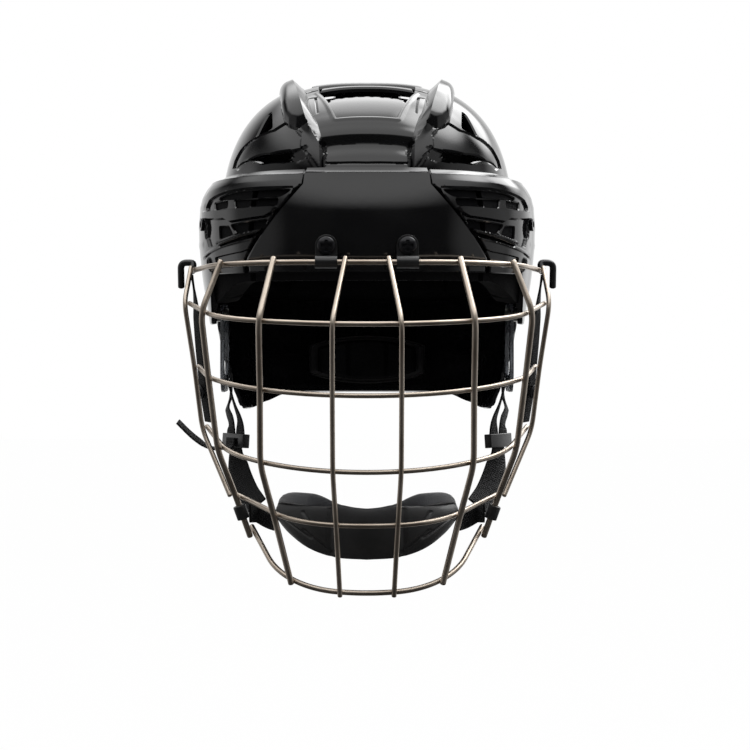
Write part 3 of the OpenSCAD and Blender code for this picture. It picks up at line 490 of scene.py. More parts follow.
# woven polyester webbing: ribs across and cords along, in the strap's own run and width (millimetres)
webbingBlack, tree, shader = newMaterial("webbingBlack", "#0c0c0d", 0.75, Specular_IOR_Level=0.3)
strapUv = addNode(tree, "ShaderNodeUVMap", None, None, uv_map="UVMap")
weft = addNode(tree, "ShaderNodeTexWave", {"Vector": strapUv.outputs["UV"]},
               {"Scale": 0.19, "Distortion": 0.4, "Detail": 1.0}, bands_direction="Y")      # 1.7 mm ribs
warp = addNode(tree, "ShaderNodeTexWave", {"Vector": strapUv.outputs["UV"]},
                {"Scale": 0.26, "Distortion": 0.2, "Detail": 1.0}, bands_direction="X")     # 1.2 mm cords
weave = addNode(tree, "ShaderNodeMath", {0: weft.outputs["Fac"], 1: warp.outputs["Fac"]}, operation="MULTIPLY")
bump = addNode(tree, "ShaderNodeBump", {"Height": weave.outputs[0]}, {"Strength": 0.7, "Distance": 0.0006})
tree.links.new(bump.outputs["Normal"], shader.inputs["Normal"])
# painted shade: the colour follows the weave's height, darker in the hollows between the cords and paler on the
# crossings
tint = addNode(tree, "ShaderNodeValToRGB", {"Fac": weave.outputs[0]})
for stop, at, colour in zip(tint.color_ramp.elements, (0.1, 0.8), ("#050506", "#121214")):
    stop.position, stop.color = at, linear(colour)
tree.links.new(tint.outputs["Color"], shader.inputs["Base Color"])

print("front shell and side grilles")


# the groove parts front shell and grille, and closes to a fine seam near the ledge
groove = {"wide": 36.5, "narrow": 19.0, "rise": 46, "top": 7, "slant": 0.95, "gap": 1.2, "seam": 0.15,
          "closesAt": 93, "closesIn": 4}
ledgeForm = {"run": 9.0, "rise": 4, "curve": 1.5, "at": 108.0, "gap": 0.5}
ledgeRun = ledgeForm["run"]


def groovePhi(z):
    along = (z - ledge + groove["top"]) / groove["rise"] + 1
    return mix(groove["wide"], groove["narrow"], np.clip(along, 0, 1))


def beltSurface(a, b):
    # b above the ledge runs inwards over it, to the crown
    phi = phiOf(a)
    z = np.minimum(b, ledge)
    over = np.clip((b - ledge) / ledgeRun, 0, 1)
    r = beltR(phi, z)
    inner = crownR(phi, ledgeForm["at"]) + ledgeForm["gap"]
    return around(phi, mix(r, inner, over), z + ledgeForm["rise"] * over ** ledgeForm["curve"])


def offsetLine(line, d, closed=True):
    # a parallel of an outline, outwards where d is positive
    p = np.array(line, float)
    ahead = np.roll(p, -1, 0) - p
    behind = p - np.roll(p, 1, 0)
    if not closed:
        ahead[-1], behind[0] = behind[-1], ahead[0]
    n0, n1 = unit(np.stack([behind[:, 1], -behind[:, 0]], 1)), unit(np.stack([ahead[:, 1], -ahead[:, 0]], 1))
    n = n0 + n1
    n /= np.maximum(np.sum(n * n1, 1, keepdims=True), 0.4)
    turn = np.sum(p[:, 0] * np.roll(p[:, 1], -1) - p[:, 1] * np.roll(p[:, 0], -1))
    q = p + n * d * (1 if turn > 0 or not closed else -1)
    return [tuple(v) for v in q] + ([tuple(q[0])] if closed else [])


def stepLines(poly, width):
    return [offsetLine(poly, -width / 2), offsetLine(poly, width / 2)]


def ribLines(line, width):
    return [offsetLine(line, -width, False), list(line), offsetLine(line, width, False)]


def rib(a, b, line, height, width):
    # a ridge along a line, or a groove where the height is negative
    d = nearestOn(a, b, [line])[0]
    return height * np.clip(1 - d / width, 0, 1)


def step(a, b, poly, height, width=1.2):
    return height * np.clip(depthIn(a, b, poly) / width + 0.5, 0, 1)


def spread(low, high, count, edge):
    # even stations with one narrow one at each end
    return np.concatenate([[low], np.linspace(low + edge, high - edge, count - 1), [high]])


front = {"cell": 0.85, "edge": 1.1, "lip": 5.5, "lipDrop": 0.6, "lipStep": 1.4, "ledgeRows": 11}
rowsUp = np.concatenate([[brim], np.arange(brim + front["edge"], ledge - 0.4, front["cell"]),
                         np.linspace(ledge, ledge + ledgeRun, front["ledgeRows"])])
acrossSteps = 2 * int(arcOf(groove["wide"]) / front["cell"])
u, b = np.meshgrid(spread(-1, 1, acrossSteps, front["edge"] / 42), rowsUp, indexing="ij")
a = u * arcOf(groovePhi(np.minimum(b, ledge)))


def frontFree(a, b, base):
    side = (arcOf(groovePhi(np.minimum(b, ledge))) - a) * groove["slant"]
    return np.minimum(side, np.where(b < ledge, b - brim, ledge + ledgeRun - b))


def frontRelief(a, b, base):
    # a lip round the brim
    return -front["lipDrop"] * ease((brim + front["lip"] - b) / front["lipStep"])


pts, faces = skin(a, b, beltSurface, [], [], frontRelief, wall, front["edge"], front["cell"], True, frontFree)
declare(makePiece("front_shell_moulding", pts, faces, glossyAbs), "helmet", "black_shell", "front_shell")

grille = {"cell": 0.62, "edge": 0.7, "end": 85.4, "cols": 216, "rows": 132, "bed": 1.7, "bedStep": 0.8, "panel": 1.2,
          "bar": 0.9, "barStep": 1.0, "rib": 0.5, "ribWidth": 0.9, "ribFlat": 1.6, "nutSink": 1.1, "nutRadius": 5.6,
          "chamfer": 1.1, "chamferRun": 9, "rail": 0.3, "railWidth": 2.2, "rails": (62, 74, 87), "footDrop": 32,
          "footFrom": 56, "footRun": 16}
upperSlot = [(216.4, 197.9), (225.6, 193.4), (240.9, 190.2), (260, 188.7), (275.3, 187.9), (289.1, 188.5),
             (284.5, 191.8), (279.2, 194.6), (256.2, 196.7), (240.9, 197.5), (227.9, 198.3), (219.5, 199.9)]
windows = [[(232.1, 199.8), (276.9, 197.1), (275, 203.5), (232.9, 206.7)],
           [(212.2, 202.8), (225.6, 200.2), (225.2, 206.7), (212.6, 209)],
           [(228.7, 224.7), (265.4, 218.9), (262.3, 227.3), (248.6, 231.2), (235.2, 234.2)],
           [(216.8, 226.6), (226.4, 226.2), (230.3, 233.8), (217.6, 239.6)]]
lowSlot = [(218.7, 245.6), (240.1, 237.2), (263.1, 231.3), (263.9, 233.9), (240.9, 240.3), (220.2, 246.9)]
grilleHoles = [rounded(onBelt(w), 1.0) for w in windows + [upperSlot, lowSlot]]
thickBar = rounded(onBelt([(203.2, 212), (225.6, 209.3), (248.6, 207.2), (272, 205.6), (276.4, 206.5), (271, 212.6),
                           (264.5, 216.4), (229, 222), (224, 218.6), (216.5, 219.4), (203.2, 219)]), 1.0)
windowBed = rounded(onBelt([(209, 200.5), (214.6, 196.3), (226, 191.6), (242, 188.4), (262, 186.9), (293.5, 186.2),
                            (287, 196.8), (280.4, 206.4), (276, 208.6), (225, 213), (206.2, 215.5), (206, 207)]), 1.2)
lowBed = rounded(onBelt([(206, 217), (226, 216.8), (262, 212.6), (272.5, 212), (268.5, 222.5), (265.6, 229.4),
                         (248.6, 233), (233, 237.6), (216.4, 244), (209, 248), (206.5, 240)]), 1.2)
lowPanel = rounded(onBelt([(214.9, 258), (240.9, 252), (252, 248), (246, 262.5), (231, 267), (217, 267)]), 1.2)
ribs = [onBelt([(203.5, 258.2), (210.3, 251.8), (225.6, 244.9), (240.9, 240.7), (263.9, 236.5)]),
        onBelt([(216, 242.8), (233.3, 235.9), (248.6, 231.4), (263.1, 229.1)])]
nutSpot = onBelt([(206.5, 230.7)])[0]
bandLine = sorted(onBelt([(204.9, 197.5), (207.6, 192.9), (214.1, 189.4), (225.6, 185.4), (240.9, 182.8),
                          (263.9, 180.9), (293.7, 179.4), (303.6, 179)]))
chamferArc = np.array(bandLine)


def sideFoot(phi):
    return brim - grille["footDrop"] * ease((phi - grille["footFrom"]) / grille["footRun"])


def grilleRelief(a, b, base):
    soft = grille["bedStep"]
    lift = step(a, b, windowBed, -grille["bed"], soft) + step(a, b, lowBed, -grille["bed"], soft)
    lift = np.maximum(lift, -grille["bed"]) + step(a, b, lowPanel, -grille["panel"], soft)
    bar = np.clip(depthIn(a, b, thickBar) / grille["barStep"] + 0.5, 0, 1)
    lift = mix(lift, grille["bar"], bar)
    for line in ribs:
        onRib = np.clip(grille["ribFlat"] - nearestOn(a, b, [line])[0] / grille["ribWidth"], 0, 1)
        lift = np.maximum(lift, mix(lift, grille["rib"] + 0 * lift, onRib))
    # a round hollow holds the visor insert
    hollow = np.hypot(a - nutSpot[0], b - nutSpot[1])
    lift -= grille["nutSink"] * np.clip((grille["nutRadius"] - hollow) / soft, 0, 1)
    # above the drawn line the ledge leans inwards
    above = b - np.interp(a, chamferArc[:, 0], chamferArc[:, 1])
    below = b < ledge + 0.1
    lift -= grille["chamfer"] * np.clip(above / grille["chamferRun"], 0, 1) * below + grille["chamfer"] * ~below
    # soft rails that run on round the side
    far = ease((a - thickBar[0][0] + 8) / 8)
    for height in grille["rails"]:
        lift += far * grille["rail"] * np.exp(-((b - height) / grille["railWidth"]) ** 2)
    return lift


def grooveEnd(b):
    closed = ease((b - groove["closesAt"]) / groove["closesIn"])
    return groovePhi(np.minimum(b, ledge)) + mix(groove["gap"], groove["seam"], closed)


def grilleFree(a, b, base):
    side = (a - arcOf(grooveEnd(b))) * groove["slant"]
    foot = np.where(b < ledge, b - sideFoot(phiOf(a)), 50)
    return np.minimum(np.minimum(side, foot), arcOf(grille["end"]) - a)


cols, rows = grille["cols"], grille["rows"]
u, v = np.meshgrid(spread(0, 1, cols, grille["edge"] / 90), spread(0, 1, rows, grille["edge"] / 70), indexing="ij")
footZ = sideFoot(mix(37.0, grille["end"], u))
b = mix(footZ, ledge, v)
over = np.linspace(ledge, ledge + ledgeRun, 9)[1:]
b = np.concatenate([b, np.tile(over, (cols + 1, 1))], 1)
u = np.concatenate([u, np.tile(u[:, :1], (1, 8))], 1)
a = mix(arcOf(grooveEnd(b)), arcOf(grille["end"]), u)
snapTo = [h + [h[0]] for h in grilleHoles] + [offsetLine(h, grille["edge"]) for h in grilleHoles] + [bandLine]
for poly, width in ((thickBar, "barStep"), (windowBed, "bedStep"), (lowBed, "bedStep"), (lowPanel, "bedStep")):
    snapTo += stepLines(poly, grille[width])
pts, faces = skin(a, b, beltSurface, snapTo, grilleHoles, grilleRelief, wall, grille["edge"], grille["cell"], False,
                  grilleFree)
for side, word in ((1, "right"), (-1, "left")):
    made = pts * [side, 1, 1]
    turned = faces if side > 0 else [f[::-1] for f in faces]
    declare(makePiece("side_grille_moulding_" + word, made, turned, glossyAbs), "helmet", "black_shell",
            "side_grille_" + word)

print("crown shell")
crown = {"cell": 0.95, "foot": 97.5, "edge": 0.9, "columns": 300, "recess": 1.2, "sharp": 0.6, "trapezoid": 8.0,
         "trapezoidStep": 1.4, "lip": 0.7, "lipAt": 2.2, "lipWidth": 2.0, "lipTop": 66, "ramp": 3.0, "rampStep": 1.0,
         "finWidth": 7.5, "finRound": 2.2, "facet": 0.9, "step": 1.3}
footUp = (1 - ((crown["foot"] - shell["base"]) / shell["crownRise"]) ** shell["crownPower"]) ** (
    shell["round"] / shell["crownPower"])
crownEdgeX = shell["crownHalf"] * (footUp - ((headY - shell["seamY"]) / shell["crownFront"]) ** shell["round"]) ** (
    1 / shell["round"])


def footAngle(x):
    q = shell["crownFront"] * np.clip(footUp - (np.abs(x) / shell["crownHalf"]) ** shell["round"], 0, 1) ** (
        1 / shell["round"])
    return np.degrees(np.arctan2(crown["foot"] - shell["base"], np.maximum(q - (headY - shell["seamY"]), 0)))


def crownSurface(a, b):
    angle = b / perDegree
    a = np.clip(a, -crownEdgeX - 0.3, crownEdgeX + 0.3)
    origin = np.stack([a, 0 * a + shell["seamY"], 0 * a + shell["base"]], -1)
    direction = np.stack([0 * a, -cosD(angle), sinD(angle)], -1)
    return cast(crownValue, origin, direction)


def atDegrees(rows):
    return [(x, t * perDegree) for x, t in rows]


# by angle up the dome: where the fin's inner face starts, its crest, how high, and how deep the middle lies
innerX = curveTable([[15, 27.2], [33, 27.7], [36, 29.4], [40.9, 31.7], [45.2, 33.8], [49.8, 36.4], [61.1, 39],
                     [69, 40.4], [74, 41.2], [95, 42]], 0.2)
crestX = curveTable([[15, 28.5], [33, 29.2], [36, 32.2], [40.2, 36.1], [46.8, 38.9], [59, 42.8], [68.3, 45.2],
                     [79, 47.2], [95, 47.8]], 0.2)
crestRise = curveTable([[15, 0], [23, 0.5], [33, 1.0], [38, 2.0], [41, 3.4], [45, 5.4], [50, 6.4], [58, 7], [74, 7],
                        [80, 5.6], [86, 2.6], [91, 0.6], [95, 0]], 0.2)
middleFall = curveTable([[15, 0.0], [20, 0.2], [23, 0.9], [28, 3.2], [32.7, 5.8], [33.8, 5.3], [35.6, 3.1], [40, 3.2],
                         [47, 4.4], [58, 4.8], [66, 4.4], [74, 3.2], [82, 2.4], [95, 2]], 0.3)
outerLine = atDegrees([(58.3, 95), (57.5, 84), (56.8, 73), (54.6, 53.7), (52.6, 46.6), (49.6, 43.4), (44.9, 40.9),
                       (41.5, 40.6), (36.4, 41.0)])
# its inner side runs well within the crest, where the relief doesn't ask for it
finPoly = outerLine + atDegrees([(31, 40.5), (34, 46.8), (38, 59), (40, 68.3), (42, 79), (42, 95)])
facet = atDegrees([(28.9, 22.6), (29.2, 33), (32.2, 36), (36.4, 40.8), (41.5, 40.6), (44.6, 40.6), (41.2, 37.6),
                   (41.7, 33.2)])
trapezoid = atDegrees([(-2, 43.7), (19.4, 43.7), (25.4, 54.5), (31.5, 66), (31.5, 95), (-2, 95)])
notch = atDegrees([(-3, 62.3), (25, 61.3), (26.3, 57.6), (29.6, 64), (31.4, 71), (31.6, 95), (-3, 95)])
vent = rounded(onCrown([(235.8, 166.9), (244.1, 161.6), (268, 153.4), (290, 149.4), (286.5, 161.2), (263, 163)]), 1.0)
rampLeft = onCrown([(289, 155)])[0][0]
rampRight = onCrown([(309, 150)])[0][0]
ramp = rounded(onCrown([(290, 149.4), (301.5, 147.2), (309.2, 147.2), (303.4, 157.3), (299.6, 160.8),
                        (286.5, 161.2)]), 1.0)
sideVent = rounded(onCrown([(257, 136.0), (268, 115), (271, 112.4), (271.4, 128.6)]), 1.0)
swoosh = onCrown([(284.3, 122.8), (272.8, 130), (255.6, 137.6), (246, 144), (239.5, 151), (234.8, 160), (232.6, 168)])
under = onCrown([(238, 170.4), (263, 164.6), (284, 163.2), (303.4, 160.5), (313, 157)])
recess = swoosh + under + atDegrees([(41.7, 33.2), (41.2, 37.6), (44.6, 40.6), (49.6, 43.2)])
lGroove = atDegrees([(37.6, 61.6), (34.4, 60.8), (32.9, 48.5)])
topSlit = atDegrees([(32.6, 70.2), (40.4, 70.6)])
plateSeam = atDegrees([(28.0, 33.6), (27.8, 18)])
foldLine = atDegrees([(-2, 32.8), (27, 32.8)])
footLine = onCrown([(367, 161.7), (340, 161.7), (326, 161.7)])
notchEdge = [notch[0]] + rounded(notch[1:6], 1.2)[3:-2] + [notch[5]]
crownHoles = [[notch[-1]] + notchEdge, vent, sideVent]
# each cut line's depth, its width, and how far out the mesh is drawn along it
cutLines = [(lGroove, 1.0, 1.0, 1.0), (topSlit, 1.8, 1.2, 1.0), (plateSeam, 1.6, 1.0, 0.8), (footLine, 1.0, 0.9, 1.0)]


def crownRelief(a, b, base):
    t = b / perDegree
    inner, crest, high, low = innerX(t), crestX(t), crestRise(t), middleFall(t)
    lift = mix(-low, high, np.clip((a - inner) / (crest - inner), 0, 1))
    # outside the crest: the fin falls off roundly to its outer foot
    beside = depthIn(a, b, finPoly)
    off = nearestOn(a, b, [outerLine])[0]
    body = high * (1 - (1 - np.clip(off / crown["finWidth"], 0, 1)) ** crown["finRound"]) ** 0.75
    outside = np.where(beside > 0, body, 0)
    inFacet = np.clip(depthIn(a, b, facet) / crown["step"] + 0.5, 0, 1)
    outside = np.maximum(outside, mix(0, mix(high, crown["facet"], ease((a - crest) / 6)), inFacet))
    lift = np.where(a > crest, outside, lift)
    # the trapezoid lies deeper, with a raised lip round it
    deep = depthIn(a, b, trapezoid)
    lift = mix(lift, -crown["trapezoid"], np.clip(deep / crown["trapezoidStep"] + 0.5, 0, 1))
    lift += crown["lip"] * ease(1 - np.abs(deep + crown["lipAt"]) / crown["lipWidth"]) * (t < crown["lipTop"])
    # the flank under the swoosh is sunk, and a ramp in it runs down into the scoop vent
    sunk = np.clip(depthIn(a, b, recess) / crown["sharp"] + 0.5, 0, 1) * crown["recess"]
    lift = np.where(a > crest, lift - sunk, lift)
    outward = np.clip((a - rampRight) / (rampLeft - rampRight), 0, 1)
    lift -= crown["ramp"] * outward * np.clip(depthIn(a, b, ramp) / crown["rampStep"] + 0.5, 0, 1)
    for line, depth, width, _ in cutLines:
        lift += rib(a, b, line, -depth, width)
    return lift


def crownFree(a, b, base):
    return np.maximum(90 * perDegree - b, 0)


x = crownEdgeX * np.sin(np.linspace(-1, 1, crown["columns"] + 1) * math.pi / 2)
x[0], x[-1] = -crownEdgeX + 0.01, crownEdgeX - 0.01
climb = np.concatenate([np.linspace(0, 0.62, 102), np.linspace(0.62, 1, 52)[1:]])
climb[-2] = 1 - crown["edge"] / 131
a, v = np.meshgrid(x, climb, indexing="ij")
b = perDegree * mix(footAngle(a), 90.0, v)
edgeT = np.linspace(33.5, 95, 72)
snapTo = [[(float(f(t)) + k, t * perDegree) for t in edgeT] for f, k in ((crestX, 0), (innerX, 0))]
snapTo += [outerLine, offsetLine(outerLine, 1.1, False), foldLine, notchEdge,
           offsetLine(notchEdge, -crown["edge"], False)]
for poly, width in ((facet, "step"), (trapezoid, "trapezoidStep"), (recess, "sharp"), (ramp, "rampStep")):
    snapTo += stepLines(poly, crown[width])
for h in crownHoles[1:]:
    snapTo += [h + [h[0]], offsetLine(h, crown["edge"])]
for line, _, _, reach in cutLines:
    snapTo += ribLines(line, reach)
pts, faces = skin(a, b, crownSurface, snapTo, crownHoles, crownRelief, wall, crown["edge"], crown["cell"], True,
                  crownFree)
declare(makePiece("crown_shell_moulding", pts, faces, glossyAbs), "helmet", "black_shell", "crown_shell")

print("rear shell")
rear = {"cell": 1.6, "scale": 1.8, "edge": 1.3, "columns": 225, "rows": 165, "stripHalf": 30.4, "stripFront": -44.0,
        "lip": 2.1, "step": 2.5, "stepHalf": 38.5}
rearForms = {"ridge": (3.4, 11.0), "spine": (1.8, 14.0), "low": (2.0, 8.0), "nape": (1.4, 7.0)}    # height and width
rearFoot = curveTable([[-22, 28], [4, 28], [18, 24], [30, 8], [38, -12], [44, -33], [51, -46], [62, -48], [84, -44],
                       [106, -38], [140, -38]], 0.4)
rearOrigin = np.array([0.0, shell["tongueY"], shell["base"]])


def rearSurface(a, b):
    origin = np.broadcast_to(rearOrigin, a.shape + (3,))
    return cast(rearValue, origin, aim(180 + a / rear["scale"], b / rear["scale"]))


def onRear(points):
    # the flat coordinates of the rays through points of the rear shell
    out = []
    for x, y, z in points:
        q = np.array([x, y, z]) - rearOrigin
        out.append((rear["scale"] * math.degrees(math.atan2(q[0], q[1])),
                    rear["scale"] * math.degrees(math.atan2(q[2], math.hypot(q[0], q[1])))))
    return out


def rearFootEl(turn):
    z = 0 * turn
    el = z.copy()
    for _ in range(9):
        for _ in range(3):
            p = rearSurface(turn * rear["scale"], el * rear["scale"])
            flat = np.hypot(p[..., 0], p[..., 1] - shell["tongueY"])
            el = np.degrees(np.arctan2(z - shell["base"], flat))
        z = 0.5 * z + 0.5 * rearFoot(rearSurface(turn * rear["scale"], el * rear["scale"])[..., 1])
    return el


turns = np.linspace(-90, 90, rear["columns"])
foots = rearFootEl(turns)
footAt = np.stack([turns * rear["scale"], foots * rear["scale"]], 1)
rearVents = [onRear([(20.8, 35, 166), (31.6, 34, 164), (34, 57, 156), (24, 61, 156)]),
             onRear([(23, 108, 102), (38, 100, 103), (51, 88, 103), (51, 94, 86), (38, 104, 84), (25, 111, 85)]),
             onRear([(56, 84, 100), (70, 68, 98), (72, 72, 84), (58, 88, 84)]),
             onRear([(-4.2, 131, 3.4), (4.2, 131, 3.4), (4.2, 131, -9.4), (-4.2, 131, -9.4)])]
rearHoles = [rounded(h, 2.4) for h in rearVents]
rearRidge = onRear([(50, 0, 165), (48, 30, 160), (45, 60, 148), (42, 88, 125), (40, 101, 112)])
lowRidge = onRear([(20, 131, 70), (44, 118, 62), (66, 98, 50), (84, 70, 40), (95, 40, 34)])
napeBand = onRear([(0, 136, -20), (30, 130, -19), (56, 112, -15), (76, 86, -8)])
spineRib = onRear([(0, 30, 172), (0, 70, 158), (0, 100, 130), (0, 122, 100)])


def bulge(a, b, line, height, width):
    return height * ease(1 - nearestOn(a, b, [line])[0] / width)


def rearRelief(a, b, base):
    y = base[..., 1]
    back = ease((y - 3) / 10)
    lift = bulge(a, b, rearRidge, *rearForms["ridge"]) * back
    lift += bulge(a, b, spineRib, *rearForms["spine"]) * ease((y - 26) / 20)
    lift += bulge(a, b, lowRidge, *rearForms["low"]) * back
    lift -= bulge(a, b, napeBand, *rearForms["nape"])
    # between the fins the shell stands a step above the crown's middle
    between = ease((rear["stepHalf"] - np.abs(base[..., 0])) / 3)
    lift += rear["step"] * between * ease((y + 4) / 7) * (1 - ease((y - 30) / 30))
    return lift


def rearFree(a, b, base):
    return nearestOn(a, b, [footAt[::3].tolist()])[0]


climb = np.concatenate([[0], np.linspace(rear["edge"] / 180, 1, rear["rows"])])
a, v = np.meshgrid(turns * rear["scale"], climb ** 0.8, indexing="ij")
b = mix(footAt[:, 1:], 90 * rear["scale"], v)
snapTo = [h + [h[0]] for h in rearHoles] + [offsetLine(h, rear["edge"]) for h in rearHoles]
pts, faces = skin(a, b, rearSurface, snapTo, rearHoles, rearRelief, wall, rear["edge"], rear["cell"], True, rearFree,
                  True)


def stripSurface(a, b):
    origin = np.stack([a, b, 0 * a + shell["base"]], -1)
    up = np.broadcast_to(np.array([0, 0, 1.0]), a.shape + (3,))
    return cast(lambda p, off: crownValue(p, wall + tongueGap), origin, up)


# the tongue's front strip, seen through the crown's notch
stripRows = np.linspace(rear["stripFront"] + 1.2, shell["tongueY"] + 0.3, 22)
a, b = np.meshgrid(spread(-rear["stripHalf"], rear["stripHalf"], 60, 1.2),
                   np.concatenate([[rear["stripFront"]], stripRows]), indexing="ij")
stripPts, stripFaces = skin(a, b, stripSurface, [], [], lambda a, b, base: 0 * a, rear["lip"], 1.2, 1.0, True,
                            lambda a, b, base: np.minimum(rear["stripHalf"] - a, b - rear["stripFront"]))
joined = np.concatenate([pts, stripPts])
faces = faces + [[k + len(pts) for k in f] for f in stripFaces]
declare(makePiece("rear_shell_moulding", joined, faces, glossyAbs), "rear", "black_shell", "rear_shell")

print("cage wires")
cage = {"hingeY": -137.0, "hingeZ": 47.7, "half": 113.2, "thick": 3.8, "thin": 3.1, "rim": 3.4, "bend": 8.0,
        "touch": 0.2, "top": 1.4}
# each bar: how far ahead of the hinge, its height and tilt, how much narrower it is than the cage, then the
# middle arc's half angle, the side arc's radius and end angle, and the straight end's length
barRows = [[0, cage["hingeZ"], -1.5, 0, 1, 70, 75, 46], [34, 9.6, 7.6, -0.8, 29.2, 62, 74, 53],
           [28, -33.5, 9.3, 5.1, 59.5, 61, 77.4, 33], [22, -79.8, 13.6, 10, 46.1, 67, 74.6, 45],
           [15, -112.5, 11.7, 27.4, 9.3, 55, 59.5, 58], [1, -154.6, 31.7, 39.8, 8.6, 53, 70.3, 36]]
bars = []
for fore, height, tilt, narrow, a1, r2, a2, straight in barRows:
    r1 = (cage["half"] - narrow - r2 * (sinD(a2) - sinD(a1)) - straight * cosD(a2)) / sinD(a1)
    bars.append([cage["hingeY"] - fore, height, tilt, r1, a1, r2, a2, straight])


def barReach(b):
    x1 = b[3] * sinD(b[4])
    x2 = x1 + b[5] * (sinD(b[6]) - sinD(b[4]))
    return x1, x2, x2 + b[7] * cosD(b[6])


def heading(b, x):
    x1, x2, _ = barReach(b)
    if x < x1:
        return math.degrees(math.asin(x / b[3]))
    return math.degrees(math.asin((x - x1) / b[5] + sinD(b[4]))) if x < x2 else b[6]


def barAt(b, x):
    x1, x2, _ = barReach(b)
    w1 = b[3] * (1 - cosD(b[4]))
    w2 = w1 + b[5] * (cosD(b[4]) - cosD(b[6]))
    t = heading(b, x)
    w = b[3] * (1 - cosD(t)) if x < x1 else w1 + b[5] * (cosD(b[4]) - cosD(t)) if x < x2 \
        else w2 + (x - x2) * math.tan(math.radians(b[6]))
    return np.array([x, b[0] + w * cosD(b[2]), b[1] + w * sinD(b[2])])


def barOut(b, x):
    t = heading(b, x)
    return np.array([sinD(t), -cosD(t) * cosD(b[2]), -cosD(t) * sinD(b[2])])


def barTangent(b, x):
    t = heading(b, x)
    return np.array([cosD(t), sinD(t) * cosD(b[2]), sinD(t) * sinD(b[2])])


def wholeBar(b):
    x1, x2, end = barReach(b)
    turns = [b[3] * sinD(mix(0, b[4], k / 12)) for k in range(13)]
    turns += [x1 + b[5] * (sinD(mix(b[4], b[6], k / 24)) - sinD(b[4])) for k in range(1, 25)] + [end]
    right = [barAt(b, min(x, end)) for x in turns]
    return flipped(right[:0:-1]) + right


barDiameter = [cage["rim"]] + [cage["thin"]] * 4 + [cage["rim"]]


def tangentsOf(p):
    n = len(p)
    return [unit(np.array(p[min(n - 1, i + 1)]) - np.array(p[max(0, i - 1)])) for i in range(n)]


def uprightPath(stops, d, over=2.0):
    middles = [barAt(bars[k], x) for k, x in stops]
    p = []
    for (k, x), t in zip(stops, tangentsOf(middles)):
        out = unit(np.cross(barTangent(bars[k], x), t))
        out = out if out @ barOut(bars[k], x) > 0 else -out
        p.append(barAt(bars[k], x) + out * ((d + barDiameter[k]) / 2 + cage["touch"]))
    bent = []
    for k in range(1, len(p) - 1):
        bent.append(p[k] - (unit(p[k - 1] - p[k]) + unit(p[k + 1] - p[k])) * cage["bend"] / 4)
    top = p[0] + unit(p[0] - bent[0]) * cage["top"]
    last = p[-1] + unit(p[-1] - bent[-1]) * over
    return roundPath([top] + bent + [last], cage["bend"], 8)


# where each upright crosses the bars from the top down, outwards from the middle
half = cage["half"]
ends = [barReach(b)[2] for b in bars]
uprights = {
    "centre_upright": ([13.3, 20.1, 20.2, 19.9, 18.1, 16.1], cage["thin"]),
    "inner_upright": ([56.2, 63.4, 62.9, 62.5, 54, 44.5], cage["thick"]),
    "side_upright": ([half - q for q in (25, 14.8, 18.1, 23.6, 34, 42.5)], cage["thick"]),
    "outer_upright": ([half - 2.6, ends[1] - 1, ends[2] - 1, ends[3] - 1, ends[4] - 1.2], cage["thin"])}

# the wire tree: a path mesh with a taper at its ends becomes a round wire
wireTree = bpy.data.node_groups.new("roundWire", "GeometryNodeTree")
for title, kind in (("Geometry", "Geometry"), ("Radius", "Float"), ("Sides", "Int"), ("Material", "Material")):
    wireTree.interface.new_socket(title, in_out="INPUT", socket_type="NodeSocket" + kind)
wireTree.interface.new_socket("Geometry", in_out="OUTPUT", socket_type="NodeSocketGeometry")
wireIn, wireOut = addNode(wireTree, "NodeGroupInput"), addNode(wireTree, "NodeGroupOutput")
spine = addNode(wireTree, "GeometryNodeMeshToCurve", {"Mesh": wireIn.outputs["Geometry"]})
taper = addNode(wireTree, "GeometryNodeInputNamedAttribute", None, {"Name": "taper"}, data_type="FLOAT")
circle = addNode(wireTree, "GeometryNodeCurvePrimitiveCircle",
                 {"Radius": wireIn.outputs["Radius"], "Resolution": wireIn.outputs["Sides"]})
tube = addNode(wireTree, "GeometryNodeCurveToMesh", {"Curve": spine.outputs["Curve"],
               "Profile Curve": circle.outputs["Curve"], "Scale": taper.outputs["Attribute"]}, {"Fill Caps": True})
soft = addNode(wireTree, "GeometryNodeSetShadeSmooth", {"Geometry": tube.outputs["Mesh"]})
real = addNode(wireTree, "GeometryNodeRealizeInstances", {"Geometry": soft.outputs["Geometry"]})
paint = addNode(wireTree, "GeometryNodeSetMaterial",
                {"Geometry": real.outputs["Geometry"], "Material": wireIn.outputs["Material"]})
wireTree.links.new(paint.outputs["Geometry"], wireOut.inputs["Geometry"])


def socketOf(group, name):
    return next(s.identifier for s in group.interface.items_tree
                if s.item_type == "SOCKET" and s.in_out == "INPUT" and s.name == name)


def grown(name, mesh, group, values):
    # evaluates a node tree on a mesh and keeps the result as a plain object
    seed = bpy.data.objects.new(name, mesh)
    bpy.context.scene.collection.objects.link(seed)
    modifier = seed.modifiers.new("grow", "NODES")
    modifier.node_group = group
    for key, value in values.items():
        modifier[socketOf(group, key)] = value
    bpy.context.view_layer.update()
    done = bpy.data.meshes.new_from_object(seed.evaluated_get(bpy.context.evaluated_depsgraph_get()))
    seed.modifiers.remove(modifier)
    seed.data = done
    done.name = name
    return seed


# a wire's rounded end: its length in radii, and how far out and how thick it is along that
wireCap = {"length": 0.6, "profile": [(1.0, 0.02), (0.92, 0.4), (0.7, 0.72), (0.35, 0.94)]}


